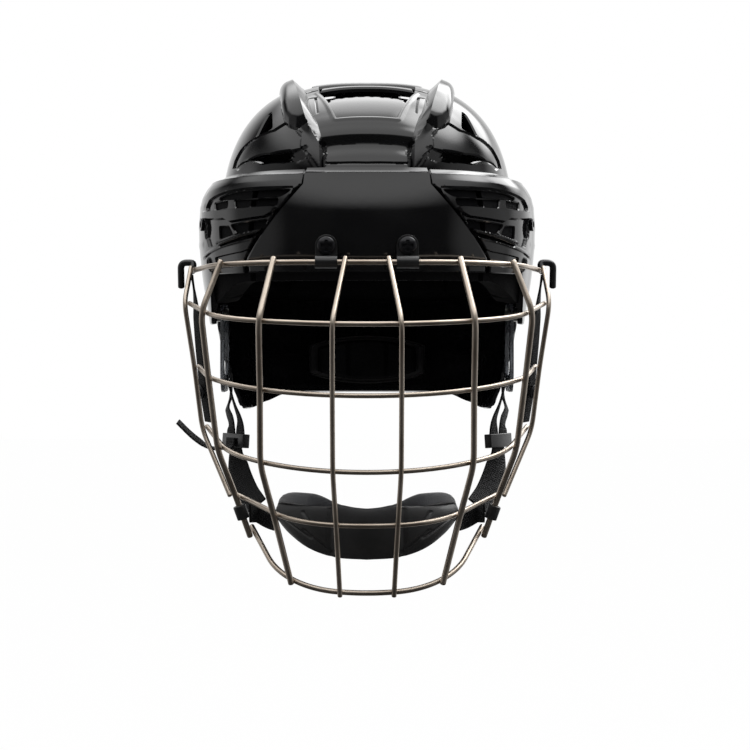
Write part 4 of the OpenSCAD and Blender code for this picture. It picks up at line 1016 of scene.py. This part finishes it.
def wirePiece(name, path, diameter, material, sides=16, step=1.6):
    r = diameter / 2
    p = evenly(path, step)
    start, stop = unit(p[0] - p[1]), unit(p[-1] - p[-2])
    capRun = r * wireCap["length"]
    caps = wireCap["profile"]
    p0, p1 = p[0] - start * capRun, p[-1] - stop * capRun
    head = [p0 + start * capRun * c for c, _ in caps]
    tail = [p1 + stop * capRun * c for c, _ in caps[::-1]]
    body = [q for q in p[1:-1] if np.linalg.norm(q - p[0]) > r and np.linalg.norm(q - p[-1]) > r]
    points = np.array(head + [p0] + body + [p1] + tail)
    scales = [c for _, c in caps] + [1.0] * (len(body) + 2) + [c for _, c in caps[::-1]]
    mesh = bpy.data.meshes.new(name)
    mesh.from_pydata((points * mm).tolist(), [(k, k + 1) for k in range(len(points) - 1)], [])
    mesh.attributes.new("taper", "FLOAT", "POINT").data.foreach_set("value", np.array(scales, np.float32))
    return grown(name, mesh, wireTree, {"Radius": r * mm, "Sides": sides, "Material": material})


barNames = ["cage_top_bar", "cage_brow_bar", "cage_eye_bar", "cage_nose_bar", "cage_mouth_bar", "cage_chin_rim"]
for name, b, d in zip(barNames, bars, barDiameter):
    declare(wirePiece(name.replace("cage_", "") + "_wire", wholeBar(b), d, satinWire), "cage", "cage_wire", name)
for name, (places, d) in uprights.items():
    path = uprightPath(list(enumerate(places)), d)
    for side, word in ((1, "right"), (-1, "left")):
        declare(wirePiece(name + "_wire_" + word, path if side > 0 else flipped(path), d, satinWire),
                "cage", "cage_wire", name + "_" + word)

print("hooks and hardware")


def section(count, rx, ry, power=2.0):
    at = np.arange(count) * 360 / count
    c, s = cosD(at), sinD(at)
    k = 2 / power
    return np.stack([rx * np.sign(c) * np.abs(c) ** k, ry * np.sign(s) * np.abs(s) ** k], 1)


def swept(path, up, shape):
    # a section carried along a path, closed at both ends, with its width and run in millimetres as UV
    p = np.asarray(path, float)
    t = unit(np.gradient(p, axis=0))
    up = np.asarray(up, float)
    x = unit(up - np.sum(up * t, 1, keepdims=True) * t)
    y = np.cross(t, x)
    n, m = len(p), len(shape)
    ring = p[:, None] + shape[None, :, :1] * x[:, None] + shape[None, :, 1:] * y[:, None]
    run = np.concatenate([[0], np.cumsum(np.linalg.norm(np.diff(p, axis=0), axis=1))])
    uv = np.stack([np.broadcast_to(shape[None, :, 0], (n, m)), np.broadcast_to(run[:, None], (n, m))], -1)
    faces = [[i * m + k, i * m + (k + 1) % m, (i + 1) * m + (k + 1) % m, (i + 1) * m + k]
             for i in range(n - 1) for k in range(m)]
    faces += [list(range(m))[::-1], [(n - 1) * m + k for k in range(m)]]
    return ring.reshape(-1, 3), faces, uv.reshape(-1, 2)


hookTip = barAt(bars[0], ends[0])
hookDir = barTangent(bars[0], ends[0])
# the sleeve's corners are measured from the top bar's end
hook = {"diameter": 4.4, "turn": 4.5, "sides": 20, "step": 0.8, "start": (0.3, 4),
        "corners": ((-0.2, 6.5, 5.4), (8.6, 8, 5.4), (8.4, 10, -11.6))}
hookPath = roundPath([hookTip + hookDir * q for q in hook["start"]] + [hookTip + np.array(q) for q in hook["corners"]],
                     hook["turn"], 10)
for side, word in ((1, "right"), (-1, "left")):
    declare(wirePiece("hook_sleeve_rubber_" + word, hookPath if side > 0 else flipped(hookPath), hook["diameter"],
                      sleeveRubber, hook["sides"], hook["step"]), "cage", "sleeve_rubber", "hook_sleeve_" + word)


soften = {"flat": 1.5, "hard": 32, "sharp": 30, "segments": 3}      # angles in degrees


def softened(node, name, material, width):
    # the solid's own mesh, merged, its flats joined and its edges rounded
    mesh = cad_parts[node].data.copy()
    mesh.name = name
    mesh.materials.clear()
    mesh.materials.append(material)
    work = bmesh.new()
    work.from_mesh(mesh)
    bmesh.ops.remove_doubles(work, verts=work.verts, dist=1e-6)
    bmesh.ops.dissolve_limit(work, angle_limit=math.radians(soften["flat"]), verts=work.verts, edges=work.edges)
    hard = [e for e in work.edges if len(e.link_faces) == 2 and e.calc_face_angle(0) > math.radians(soften["hard"])]
    bmesh.ops.bevel(work, geom=hard, offset=width * mm, offset_type="OFFSET", segments=soften["segments"], profile=0.5,
                    affect="EDGES", clamp_overlap=True)
    bmesh.ops.triangulate(work, faces=[f for f in work.faces if len(f.verts) > 4])
    for face in work.faces:
        face.material_index = 0
    work.to_mesh(mesh)
    work.free()
    mesh.shade_smooth()
    mesh.set_sharp_from_angle(angle=math.radians(soften["sharp"]))
    made = bpy.data.objects.new(name, mesh)
    bpy.context.scene.collection.objects.link(made)
    return made


# node: the piece's name, its material, how far its edges are rounded, its body and its slot
softParts = {
    "clip_left": ("cage_clip_left", blackNylon, 0.45, "helmet", "black_fitting"),
    "clip_right": ("cage_clip_right", blackNylon, 0.45, "helmet", "black_fitting"),
    "clip_nuts": ("barrel_nuts", zincSteel, 0.2, "helmet", "steel"),
    "visor_nut_left": ("visor_insert_left", blackOxide, 0.3, "helmet", "steel"),
    "visor_nut_right": ("visor_insert_right", blackOxide, 0.3, "helmet", "steel"),
    "ear_guard_left": ("ear_guard_lens_left", smokePolycarbonate, 0.5, "helmet", "smoke_plastic"),
    "ear_guard_right": ("ear_guard_lens_right", smokePolycarbonate, 0.5, "helmet", "smoke_plastic"),
    "ear_guard_screws": ("ear_guard_fasteners", zincSteel, 0.35, "helmet", "steel"),
    "lever_pivots": ("lever_brackets", blackNylon, 0.35, "rear", "black_fitting"),
    "lever_left": ("length_lever_left", blackNylon, 0.6, "lever_left", "black_fitting"),
    "lever_right": ("length_lever_right", blackNylon, 0.6, "lever_right", "black_fitting"),
    "cage_ring_left": ("strap_ring_left", blackNylon, 0.6, "cage", "black_fitting"),
    "cage_ring_right": ("strap_ring_right", blackNylon, 0.6, "cage", "black_fitting"),
    "strap_sliders": ("webbing_sliders", blackNylon, 0.5, "helmet", "black_fitting"),
    "side_snaps": ("snap_caps", blackOxide, 0.5, "cage", "black_metal")}
for node, (name, material, width, body, slotName) in softParts.items():
    declare(softened(node, name, material, width), body, slotName, node)


def turned(profile, count, knurl=0, depth=0.0):
    # a lathed solid about Z from its centre out and back: rows of (radius, height, how much of the knurl)
    rows = np.array(profile, float)
    at = np.arange(count) * 360 / count
    wave = np.cos(np.radians(at * knurl)) if knurl else 0 * at
    points, faces = [], []
    for radius, height, share in rows:
        r = radius + depth * share * wave
        points += np.stack([r * cosD(at), r * sinD(at), 0 * at + height], 1).tolist()
    n = len(rows)
    for i in range(n - 1):
        for k in range(count):
            faces.append([i * count + k, i * count + (k + 1) % count, (i + 1) * count + (k + 1) % count,
                          (i + 1) * count + k])
    faces += [list(range(count))[::-1], [(n - 1) * count + k for k in range(count)]]
    return np.array(points), faces


def stood(points, at, axis, turn=(0, 0, 1)):
    z = unit(np.array(axis, float))
    x = unit(np.cross(np.array(turn, float), z))
    y = np.cross(z, x)
    p = np.asarray(points)
    return np.array(at) + p[:, :1] * x + p[:, 1:2] * y + p[:, 2:] * z


# domed screws with a cross recess
screw = {"head": 5.7, "round": 5.85, "dome": 3.2, "skirt": 0.9, "sides": 96, "slot": 0.85, "reach": 3.3, "deep": 1.5,
         "shaft": 2.3, "length": 9, "spacing": 25, "z": 58.0, "back": -127.6, "plate": 2.2}
ringR = np.concatenate([[0.02], np.linspace(0.25, 5.2, 26), [5.5, screw["head"], screw["head"]]])
at = np.arange(screw["sides"]) * 360 / screw["sides"]
r, g = np.meshgrid(ringR, at, indexing="ij")
x, y = r * cosD(g), r * sinD(g)
domeZ = screw["dome"] * np.sqrt(np.clip(1 - (r / screw["round"]) ** 2, 0, 1)) + screw["skirt"]
domeZ[-1] = 0.0
small = np.minimum(np.abs(x), np.abs(y))
domeZ -= screw["deep"] * ease((screw["slot"] - small) / 0.3 + 0.5) * ease((screw["reach"] - r) / 0.5 + 0.5)
cap = np.stack([x, y, domeZ], -1).reshape(-1, 3)
rings, m = len(ringR), len(at)
capFaces = [[(i + 1) * m + k, (i + 1) * m + (k + 1) % m, i * m + (k + 1) % m, i * m + k] for i in range(rings - 1)
            for k in range(m)] + [list(range(m)), [(rings - 1) * m + k for k in range(m)][::-1]]
shaft, shaftFaces = turned([(screw["shaft"], -screw["length"], 0), (screw["shaft"], 0.3, 0)], 24)
allPoints, allFaces = [], []
for side in (-1, 1):
    spot = [side * screw["spacing"], screw["back"] - screw["plate"] - 0.02, screw["z"]]
    for points, facesOf in ((cap, capFaces), (shaft, shaftFaces)):
        base = sum(len(p) for p in allPoints)
        allPoints.append(stood(points, spot, (0, -1, 0)))
        allFaces += [[k + base for k in f] for f in facesOf]
declare(tidied("cross_recess_screws", np.concatenate(allPoints), allFaces, blackOxide), "helmet", "black_fitting",
        "clip_screws")

# adjuster: knurled knob on a shaft
dial = {"radius": 14, "height": 7, "shaft": 3.6, "shaftLength": 14.4, "knurls": 26, "depth": 0.55, "sides": 208,
        "tilt": 9, "z": -3.0, "play": 0.7}
dialDrop = (shell["base"] - dial["z"]) / shell["drop"]
dialY = headY + shell["rearBack"] * (1 - dialDrop ** shell["rearPower"]) ** (1 / shell["rearPower"])
dialAxis = np.array([0, cosD(dial["tilt"]), -sinD(dial["tilt"])])
knob, tall = dial["radius"] - dial["depth"], dial["height"]
profile = [(dial["shaft"], -dial["shaftLength"], 0), (dial["shaft"], 0, 0), (knob - 1, 0, 0), (knob, 0.8, 0.7),
           (knob, 1.6, 1), (knob, tall - 1.8, 1), (knob - 0.6, tall - 0.7, 0.7), (knob - 1.8, tall - 0.1, 0),
           (knob - 2.6, tall, 0), (knob - 3.4, tall - 0.5, 0), (knob - 4.4, tall - 1.4, 0), (3, tall - 1.8, 0),
           (0.05, tall - 1.9, 0)]
points, faces = turned(profile, dial["sides"], dial["knurls"], dial["depth"])
dialSpot = np.array([0, dialY, dial["z"]]) + dialAxis * dial["play"]
declare(tidied("dial_knob", stood(points, dialSpot, dialAxis), faces, blackNylon),
        "dial", "black_fitting", "occipital_dial")

# cradle: a curved plate with two rows of slots
cradle = {"radius": 62, "back": 116, "half": 42, "z": -14, "wall": 2.6, "tall": 14, "middle": 17.0, "end": 10.0,
          "slotWide": 7, "slotTall": 4.5, "edge": 0.8}


def cradleSurface(a, b):
    angle = -a / cradle["radius"] * 180 / math.pi
    high = mix(cradle["middle"], cradle["end"], (np.abs(angle) / cradle["half"]) ** 2)
    y = cradle["back"] - cradle["radius"] + cradle["radius"] * cosD(angle)
    return np.stack([cradle["radius"] * sinD(angle), y, cradle["z"] + high * b / cradle["tall"]], -1)


reach = math.radians(cradle["half"]) * cradle["radius"]
slotCorners = ((0, 0), (cradle["slotWide"], 0), (cradle["slotWide"], cradle["slotTall"]), (0, cradle["slotTall"]))
slotsHere = [rounded([(x0 + dx, z0 + dz) for dx, dz in slotCorners], 2.0) for x0 in (16, 27) for z0 in (-8.5, 4)]
a, b = np.meshgrid(spread(-reach, reach, 110, cradle["edge"]),
                   spread(-cradle["tall"], cradle["tall"], 34, cradle["edge"]), indexing="ij")
points, faces = skin(a, b, cradleSurface, [h + [h[0]] for h in slotsHere], slotsHere, lambda a, b, base: 0 * a,
                     cradle["wall"], cradle["edge"], 0.85, True,
                     lambda a, b, base: np.minimum(reach - a, cradle["tall"] - np.abs(b)))
declare(makePiece("cradle_plate", points, faces, blackNylon), "cradle", "black_fitting", "occipital_cradle")

print("liner pads")


def slab(outer, inner):
    # a closed block between two grids of points
    ni, nj = outer.shape[:2]
    n = ni * nj
    at = np.arange(n).reshape(ni, nj)
    q = np.stack([at[:-1, :-1], at[1:, :-1], at[1:, 1:], at[:-1, 1:]], -1).reshape(-1, 4)
    loop = np.concatenate([at[:, 0], at[-1, 1:], at[-2::-1, -1], at[0, -2:0:-1]])
    faces = q.tolist() + (q[:, ::-1] + n).tolist()
    faces += [[int(loop[k - 1]), int(loop[k - 1]) + n, int(loop[k]) + n, int(loop[k])] for k in range(len(loop))]
    return np.concatenate([outer.reshape(-1, 3), inner.reshape(-1, 3)]), faces


def pillow(u, v, edge=0.1, tall=1.3):
    # how thick a moulded pad is from its rim in
    e = np.clip(np.minimum(np.minimum(u, 1 - u), np.minimum(v, 1 - v) * tall) / edge, 0, 1)
    return (1 - (1 - e) ** 2.4) ** (1 / 2.4)


# lengths in millimetres; the channels' and hollows' depths are shares of a pad's thickness
liner = {"foot": 37.0, "sideFoot": 24.0, "top": 95.0, "channel": 0.34, "channelEdge": 0.3, "hollow": 0.22,
         "hollowEdge": 0.03, "longer": 1.6, "sharp": 50, "forehead": 13, "temple": 17, "crown": 12, "rear": 12,
         "nuchal": 7, "foreheadPlay": 2.2, "templePlay": 0.6, "crownPlay": 8.4, "rearPlay": 1.1, "ledgePlay": 2.4,
         "nuchalPlay": 0.3}


def padFoot(phi):
    return mix(liner["foot"], liner["sideFoot"], ease((np.abs(phi) - 38) / 26))


def makePad(name, pointAt, thick, node, channels=(), hollows=(), count=(120, 52), rim=0.4, body="helmet"):
    # pointAt(u, v, depth) places a point below the shell; channels run across, hollows are round
    u, v = np.meshgrid(np.linspace(0, 1, count[0]), np.linspace(0, 1, count[1]), indexing="ij")
    crowned = mix(rim, 1.0, pillow(u, v))
    for cu, wide in channels:
        valley = np.exp(-((u - cu) / wide) ** 2) * ease((crowned - rim) / liner["channelEdge"])
        crowned = crowned - liner["channel"] * valley
    for cu, cv, wide in hollows:
        away = np.hypot((u - cu) * count[0] / count[1] * liner["longer"], v - cv)
        crowned = crowned - liner["hollow"] * ease((wide - away) / liner["hollowEdge"])
    points, faces = slab(pointAt(u, v, 0 * u), pointAt(u, v, thick * np.maximum(crowned, rim * 0.8)))
    pad = tidied(name, points, faces, linerFoam, None, liner["sharp"])
    return declare(pad, body, "liner_foam", node)


def beltPad(phi0, phi1, play, side=1):
    def place(u, v, depth):
        phi = mix(phi0, phi1, u)
        z = mix(padFoot(phi), liner["top"], v)
        return around(phi, beltR(phi, z, play + depth), z) * [side, 1, 1]
    return place


def crownPad(u, v, depth):
    phi, el = mix(-84.0, 84.0, u), mix(36.0, 76.0, v)
    origin = np.broadcast_to(np.array([0, shell["seamY"], shell["base"]], float), u.shape + (3,))
    return cast(crownValue, origin, aim(phi, el), wall + liner["crownPlay"] + depth)


def rearPad(u, v, depth):
    phi, el = mix(122.0, 238.0, u), mix(-12.0, 52.0, v)
    # it stands further off where the shell carries the ledge
    play = liner["ledgePlay"] * (1 - ease(np.abs(el - 21) / 14))
    deeper = np.maximum(depth - play * (depth > 0), 0)
    origin = np.broadcast_to(rearOrigin, u.shape + (3,))
    return cast(rearValue, origin, aim(phi, el), wall + liner["rearPlay"] + play + deeper)


def nuchalPad(u, v, depth):
    angle = mix(-36.0, 36.0, u)
    high = mix(14.0, 8.0, (np.abs(angle) / 36) ** 2)
    r = cradle["radius"] - cradle["wall"] - liner["nuchalPlay"] - depth
    y = cradle["back"] - cradle["radius"] + r * cosD(angle)
    return np.stack([r * sinD(angle), y, cradle["z"] + high * (2 * v - 1)], -1)


makePad("forehead_pad", beltPad(-35, 35, wall + liner["foreheadPlay"]), liner["forehead"], "liner_front",
        ((0.22, 0.012), (0.5, 0.012), (0.78, 0.012)), [(0.36, 0.5, 0.16), (0.64, 0.5, 0.16)])
for side, word in ((1, "right"), (-1, "left")):
    makePad("temple_pad_" + word, beltPad(36.5, 74, wall + liner["templePlay"], side), liner["temple"],
            "liner_side_" + word, ((0.5, 0.016),), [(0.25, 0.5, 0.16), (0.75, 0.5, 0.16)], (80, 52))
makePad("crown_pad", crownPad, liner["crown"], "liner_crown", [(across, 0.008) for across in (0.25, 0.5, 0.75)],
        [(across, 0.5, 0.2) for across in (0.13, 0.38, 0.62, 0.87)], (150, 44))
makePad("occipital_liner", rearPad, liner["rear"], "liner_rear", ((0.3, 0.01), (0.7, 0.01)),
        [(0.16, 0.5, 0.16), (0.84, 0.5, 0.16)], (130, 60))
makePad("nuchal_pad", nuchalPad, liner["nuchal"], "occipital_pad", ((0.3, 0.02), (0.7, 0.02)), (), (90, 40), 0.5,
        "cradle")

print("chin cup")
cup = {"half": 56.7, "wall": 5.5, "y": -119.0, "sweep": 78.0, "belly": 5.0, "groove": 1.2, "grooveHalf": 1.7,
       "run": 60, "rise": 30, "middle": 15.6, "middleUp": 0.5, "middleEdge": 1.6, "rimDrop": 0.8, "lean": 0.16,
       "padWall": 4.0, "padBelly": 3.5, "play": 0.4, "sharp": 60}
cup["r"] = cup["half"] / sinD(cup["sweep"])
# by share of the way from the middle to the ends: the cup's edges, and how far shell and lining stay below the top
cupTop = curveTable([[0, -104.2], [0.13, -103.4], [0.26, -100], [0.36, -97], [0.48, -95.3], [0.62, -95], [0.78, -96],
                     [0.9, -98], [1, -101.5]])
cupLow = curveTable([[0, -135], [0.3, -133.3], [0.5, -128.8], [0.7, -121.6], [0.88, -115.6], [1, -113]])
shellDrop = curveTable([[0, 1.2], [0.2, 1.6], [0.36, 7], [0.5, 8.8], [0.8, 8.4], [0.92, 6], [1, 3.5]])
liningDrop = curveTable([[0, 2.8], [0.16, 2.8], [0.34, 4], [0.5, 4.8], [0.7, 4.6], [1, 3.6]])
cupLines = [[(29.4, 12.6), (16.4, 2)], [(31, 26), (27, 20.5)], [(17.2, 1), (16.4, 15), (17.2, 29)],
            [(43, 15.5), (27, 8.5)]]           # moulded channels of the front, as run and rise in millimetres


def rolledRim(p, q, out, lip):
    # half rings from one edge over to the other
    centre, half = (p + q) / 2, (p - q) / 2
    size = np.linalg.norm(half, axis=-1, keepdims=True)
    turnsOver = [math.radians(k) for k in np.linspace(0, 180, 8)[1:-1]]
    return np.stack([centre + half * math.cos(k) + out * size * math.sin(k) * lip for k in turnsOver], 1)


def cupBand(r, thick, belly, grooved, reach, drop, count, rows, lip):
    # a bowed band from ear to ear: its front bellies out, its back follows more flatly
    u = np.linspace(-reach, reach, count)[:, None]
    au = np.abs(u)
    e = np.sqrt(np.maximum(0.02, 1 - au ** 6))
    low = cupLow(au)
    top = cupTop(au) - drop(au)
    v = np.linspace(0, 1, rows)[None]
    full = np.sin(np.radians(180 * np.clip(v * 0.9 + 0.05, 0, 1))) ** 0.6
    front = r + belly * e * full
    if grooved:
        run, rise = au * cup["run"] + 0 * v, v * cup["rise"] + 0 * au
        for line in cupLines:
            front = front + rib(run, rise, line, -cup["groove"], cup["grooveHalf"])
        front = front + cup["middleUp"] * ease((cup["middle"] - run) / cup["middleEdge"])
    else:
        # the lining's lip turns out over the shell's lower edge
        front = front + (cup["wall"] + cup["play"]) * ease((v - 0.8) / 0.12) * ease((au - 0.3) / 0.2)
    back = (r - thick + belly * 0.7 * e * full)[:, ::-1]
    backZ = mix(low + cup["rimDrop"], top - cup["rimDrop"], v)[:, ::-1]
    angle = np.radians(cup["sweep"] * u)
    sides = []
    for radius, height, up in ((front, mix(low, top, v), v), (back, backZ, v[:, ::-1])):
        y = cup["y"] + cup["r"] - radius * np.cos(angle) - (up - 0.5) * (top - low) * cup["lean"]
        sides.append(np.stack([radius * np.sin(angle), y, height + 0 * radius], -1))
    upwards = np.array([0, 0, 1.0])
    loop = np.concatenate([sides[0], rolledRim(sides[0][:, -1], sides[1][:, 0], upwards, lip), sides[1],
                           rolledRim(sides[1][:, -1], sides[0][:, 0], -upwards, lip)], 1)
    n, m = loop.shape[:2]
    faces = [[i * m + k, (i + 1) * m + k, (i + 1) * m + (k + 1) % m, i * m + (k + 1) % m] for i in range(n - 1)
             for k in range(m)]
    faces += [list(range(m)), [(n - 1) * m + k for k in range(m)][::-1]]
    return loop.reshape(-1, 3), faces


points, faces = cupBand(cup["r"], cup["wall"], cup["belly"], True, 1.0, shellDrop, 240, 70, 0.5)
chinShell = tidied("chin_cup_moulding", points, faces, cupRubber, None, cup["sharp"])
declare(chinShell, "cage", "cup_rubber", "chin_cup_shell")
points, faces = cupBand(cup["r"] - cup["wall"] - cup["play"], cup["padWall"], cup["padBelly"], False, 0.985,
                        liningDrop, 160, 40, 0.9)
chinLining = tidied("chin_cup_lining", points, faces, cupLining, None, cup["sharp"])
declare(chinLining, "cage", "liner_foam", "chin_cup_pad")

print("straps")
web = {"thick": 1.5, "slim": 9, "ear": 12, "wide": 15, "sides": 28, "corner": 5.0, "ringDown": 0.05}
guardX = shell["crownHalf"] - 3.9      # the ear guards' inner faces
strapShape = {k: section(web["sides"], web[k] / 2, web["thick"] / 2, web["corner"]) for k in ("slim", "ear", "wide")}
sidePath = np.array(uprightPath(list(enumerate(uprights["side_upright"][0])), cage["thick"]))
# the ring sits at the upper end of the side upright's last straight
ringAt = mix(sidePath[-2], sidePath[-1], web["ringDown"])
cupEndY = cup["y"] + cup["r"] * (1 - cosD(cup["sweep"]))
faceOn = (0.5, 0.87, 0)
slider = {"x": guardX - 7.4, "y": -26.0, "turn": 30, "gap": web["ear"] / 2 + 0.55}
# where the front and the rear web enter the slider
inward, outward = [(slider["x"] + k * slider["gap"] * sinD(slider["turn"]),
                    slider["y"] + k * slider["gap"] * cosD(slider["turn"])) for k in (-1, 1)]
# each run: its corners, their bend, the way its width points from one end to the other, and its kind
runs = {
    "side_strap": [([hookTip + np.array(q) for q in ((0.4, -5.6, -3), (-2.2, -4.1, -21.2), (-3.4, 6.4, -51.2),
                     (-5.8, 15, -80), (-8.8, 18, -99))], 14, [(0, 1, 0.1)] + [faceOn] * 3, "slim")],
    "chin_strap": [([ringAt + np.array([-5.2, 4.6, -1]), [cage["half"] - 43.8, cupEndY + 7.4853, -110.8],
                     [cup["half"] + 5.6, cupEndY + 4.5853, -115], [cup["half"] + 2.2, cupEndY - 1.4147, -115.5]], 6,
                    [(0, 0.1, 1)] * 2, "ear")],
    "ear_strap": [([[guardX - 2.2, -22, -26], [guardX - 5.6, -26, -40], [*inward, -53], [*inward, -64]], 8,
                   [(0, 1, 0), (0.1, 1, 0), (0.25, 0.95, 0), faceOn], "ear"),
                  ([[guardX - 2.2, 20, -26], [guardX - 2.2, 8, -38], [guardX - 0.8, -6, -46], [*outward, -55],
                    [*outward, -64]], 8, [(0, 1, 0.4), (0, 1, 0.3), (0.2, 1, 0), faceOn], "ear"),
                  ([[slider["x"], slider["y"] - 1, -68], [slider["x"] - 0.4, slider["y"] - 2, -79],
                    [guardX - 11.4, -36, -90], [guardX - 16, -46, -99], [guardX - 22.6, cup["y"] + 59, -106.5]], 10,
                   [faceOn, (0.85, 0.5, 0), (0.95, 0.3, -0.1), (0.8, 0.1, -0.5)], "wide")]}
bodyOf = {"side_strap": "cage", "chin_strap": "cage", "ear_strap": "helmet"}


def strap(name, parts, side, body, node):
    points, faces, uvs = [], [], []
    for path, bend, ways, kind in parts:
        coarse, route = np.array(roundPath(path, bend, 3)), evenly(roundPath(path, bend, 10), 1.2)
        share = np.concatenate([[0], np.cumsum(np.linalg.norm(np.diff(coarse, axis=0), axis=1))])
        at = np.interp(np.linspace(0, share[-1], len(route)), share, np.linspace(0, len(ways) - 1, len(coarse)))
        up = np.stack([np.interp(at, range(len(ways)), [way[k] for way in ways]) for k in range(3)], 1)
        if side < 0:
            route, up = np.array(flipped(route)), up * [-1, 1, 1]
        p, f, uv = swept(route, up, strapShape[kind])
        base = sum(len(q) for q in points)
        points.append(p)
        faces += [[k + base for k in face] for face in f]
        uvs.append(uv)
    made = tidied(name, np.concatenate(points), faces, webbingBlack, np.concatenate(uvs), 50)
    return declare(made, body, "webbing", node)


for key, parts in runs.items():
    for side, word in ((1, "right"), (-1, "left")):
        strap(key + "_webbing_" + word, parts, side, bodyOf[key], key + "_" + word)
tail = [[slider["x"] + q[0], slider["y"] + q[1], q[2]] for q in (
    (3, -1.8, -64), (3.6, -2.2, -70.5), (16, -5, -71.5), (27.8, -8, -63), (37.4, -9, -53.2))]
strap("strap_tail_webbing", [(tail, 6, [faceOn, faceOn, (0.1, 1, 0.3), (0.3, 0.8, 0.5)], "ear")], -1, "helmet",
      "strap_tail")

print("room and lights")
room = {"floor": -430, "size": 9000, "paper": "#f4f4f3"}
floorMesh = bpy.data.meshes.new("studioFloor")
s, z = room["size"] * mm, room["floor"] * mm
floorMesh.from_pydata([(-s, -s, z), (s, -s, z), (s, s, z), (-s, s, z)], [], [(0, 1, 2, 3)])
studioFloor = bpy.data.objects.new("studioFloor", floorMesh)
bpy.context.scene.collection.objects.link(studioFloor)
# seamless paper: pale, and white to the lens while it keeps a soft shadow
paperFloor, tree, shader = newMaterial("paperFloor", room["paper"], 0.9)
rays = addNode(tree, "ShaderNodeLightPath")
seen = addNode(tree, "ShaderNodeMath", {0: rays.outputs["Is Camera Ray"], 1: rays.outputs["Is Glossy Ray"]},
               operation="MAXIMUM")
seenAll = addNode(tree, "ShaderNodeMath", {0: seen.outputs[0], 1: rays.outputs["Is Transmission Ray"]},
                  operation="MAXIMUM")
share = addNode(tree, "ShaderNodeMath", {0: seenAll.outputs[0]}, {1: 0.97}, operation="MULTIPLY")
glow = addNode(tree, "ShaderNodeEmission", None, {"Color": (1, 1, 1, 1), "Strength": 1.0})
both = addNode(tree, "ShaderNodeMixShader", {0: share.outputs[0], 1: shader.outputs["BSDF"],
                                             2: glow.outputs["Emission"]})
tree.links.new(both.outputs["Shader"], tree.nodes["Material Output"].inputs["Surface"])
floorMesh.materials.append(paperFloor)
studioFloor.visible_glossy = False

world = bpy.data.worlds.new("studioWorld")
bpy.context.scene.world = world
world.use_nodes = True
tree = world.node_tree
tree.nodes.clear()
light = {"diffuse": 0.75, "dark": 0.05, "top": 1.7}
# what the gloss sees: soft boxes in the dark (towards, inner and outer angle, brightness)
boxes = [((0.52, 0.25, 0.82), 8, 24, 5.5), ((0.47, 0.7, 0.54), 9, 19, 4.5), ((0, 0.6, 0.8), 10, 30, 2.0),
         ((0, 1, 0), 20, 50, 0.9), ((-0.84, 0.54, 0), 10, 26, 0.6), ((0.66, 0.75, 0.05), 10, 24, 0.8),
         ((0.99, 0, 0.1), 18, 40, 0.4), ((-0.99, 0, 0.1), 18, 40, 0.3)]
aimAt = addNode(tree, "ShaderNodeTexCoord")
split = addNode(tree, "ShaderNodeSeparateXYZ", {"Vector": aimAt.outputs["Generated"]})
parts = [addNode(tree, "ShaderNodeMapRange", {"Value": split.outputs["Z"]},
                 {"From Min": 0.47, "From Max": 0.7, "To Max": light["top"]}, interpolation_type="SMOOTHSTEP")
         .outputs["Result"]]
for towards, inner, outer, strength in boxes:
    near = addNode(tree, "ShaderNodeVectorMath", {0: aimAt.outputs["Generated"]}, {1: unit(towards)},
                   operation="DOT_PRODUCT")
    parts.append(addNode(tree, "ShaderNodeMapRange", {"Value": near.outputs["Value"]},
                         {"From Min": cosD(outer), "From Max": cosD(inner), "To Max": strength},
                         interpolation_type="SMOOTHSTEP").outputs["Result"])
glossy = addNode(tree, "ShaderNodeMath", {0: parts[0]}, {1: light["dark"]})
for part in parts[1:]:
    glossy = addNode(tree, "ShaderNodeMath", {0: glossy.outputs[0], 1: part})
rays = addNode(tree, "ShaderNodeLightPath")
plain = addNode(tree, "ShaderNodeMath", {0: rays.outputs["Is Camera Ray"], 1: rays.outputs["Is Transmission Ray"]},
                operation="MAXIMUM")
level = addNode(tree, "ShaderNodeMix", {"Factor": rays.outputs["Is Glossy Ray"]}, None)
level.inputs[2].default_value = light["diffuse"]
tree.links.new(glossy.outputs[0], level.inputs[3])
final = addNode(tree, "ShaderNodeMix", {"Factor": plain.outputs[0]}, None)
tree.links.new(level.outputs[0], final.inputs[2])
final.inputs[3].default_value = 1.0
sky = addNode(tree, "ShaderNodeBackground", {"Strength": final.outputs[0]}, {"Color": (1, 1, 1, 1)})
addNode(tree, "ShaderNodeOutputWorld", {"Surface": sky.outputs["Background"]})

# where each lamp stands in metres, its power and its size
lamps = {"keyRight": [(1.6, -1.6, 1.9), 14, 1.2], "fillLeft": [(-1.9, -1.2, 1.2), 5, 1.4],
         "topSoft": [(0, 0.2, 2.4), 12, 1.6]}
for name, (spot, power, size) in lamps.items():
    lamp = bpy.data.lights.new(name, "AREA")
    lamp.energy, lamp.size = power, size
    holder = bpy.data.objects.new(name, lamp)
    holder.location = spot
    holder.rotation_euler = (Vector((0, 0, 0)) - Vector(spot)).to_track_quat("-Z", "Y").to_euler()
    holder.visible_glossy = False
    bpy.context.scene.collection.objects.link(holder)
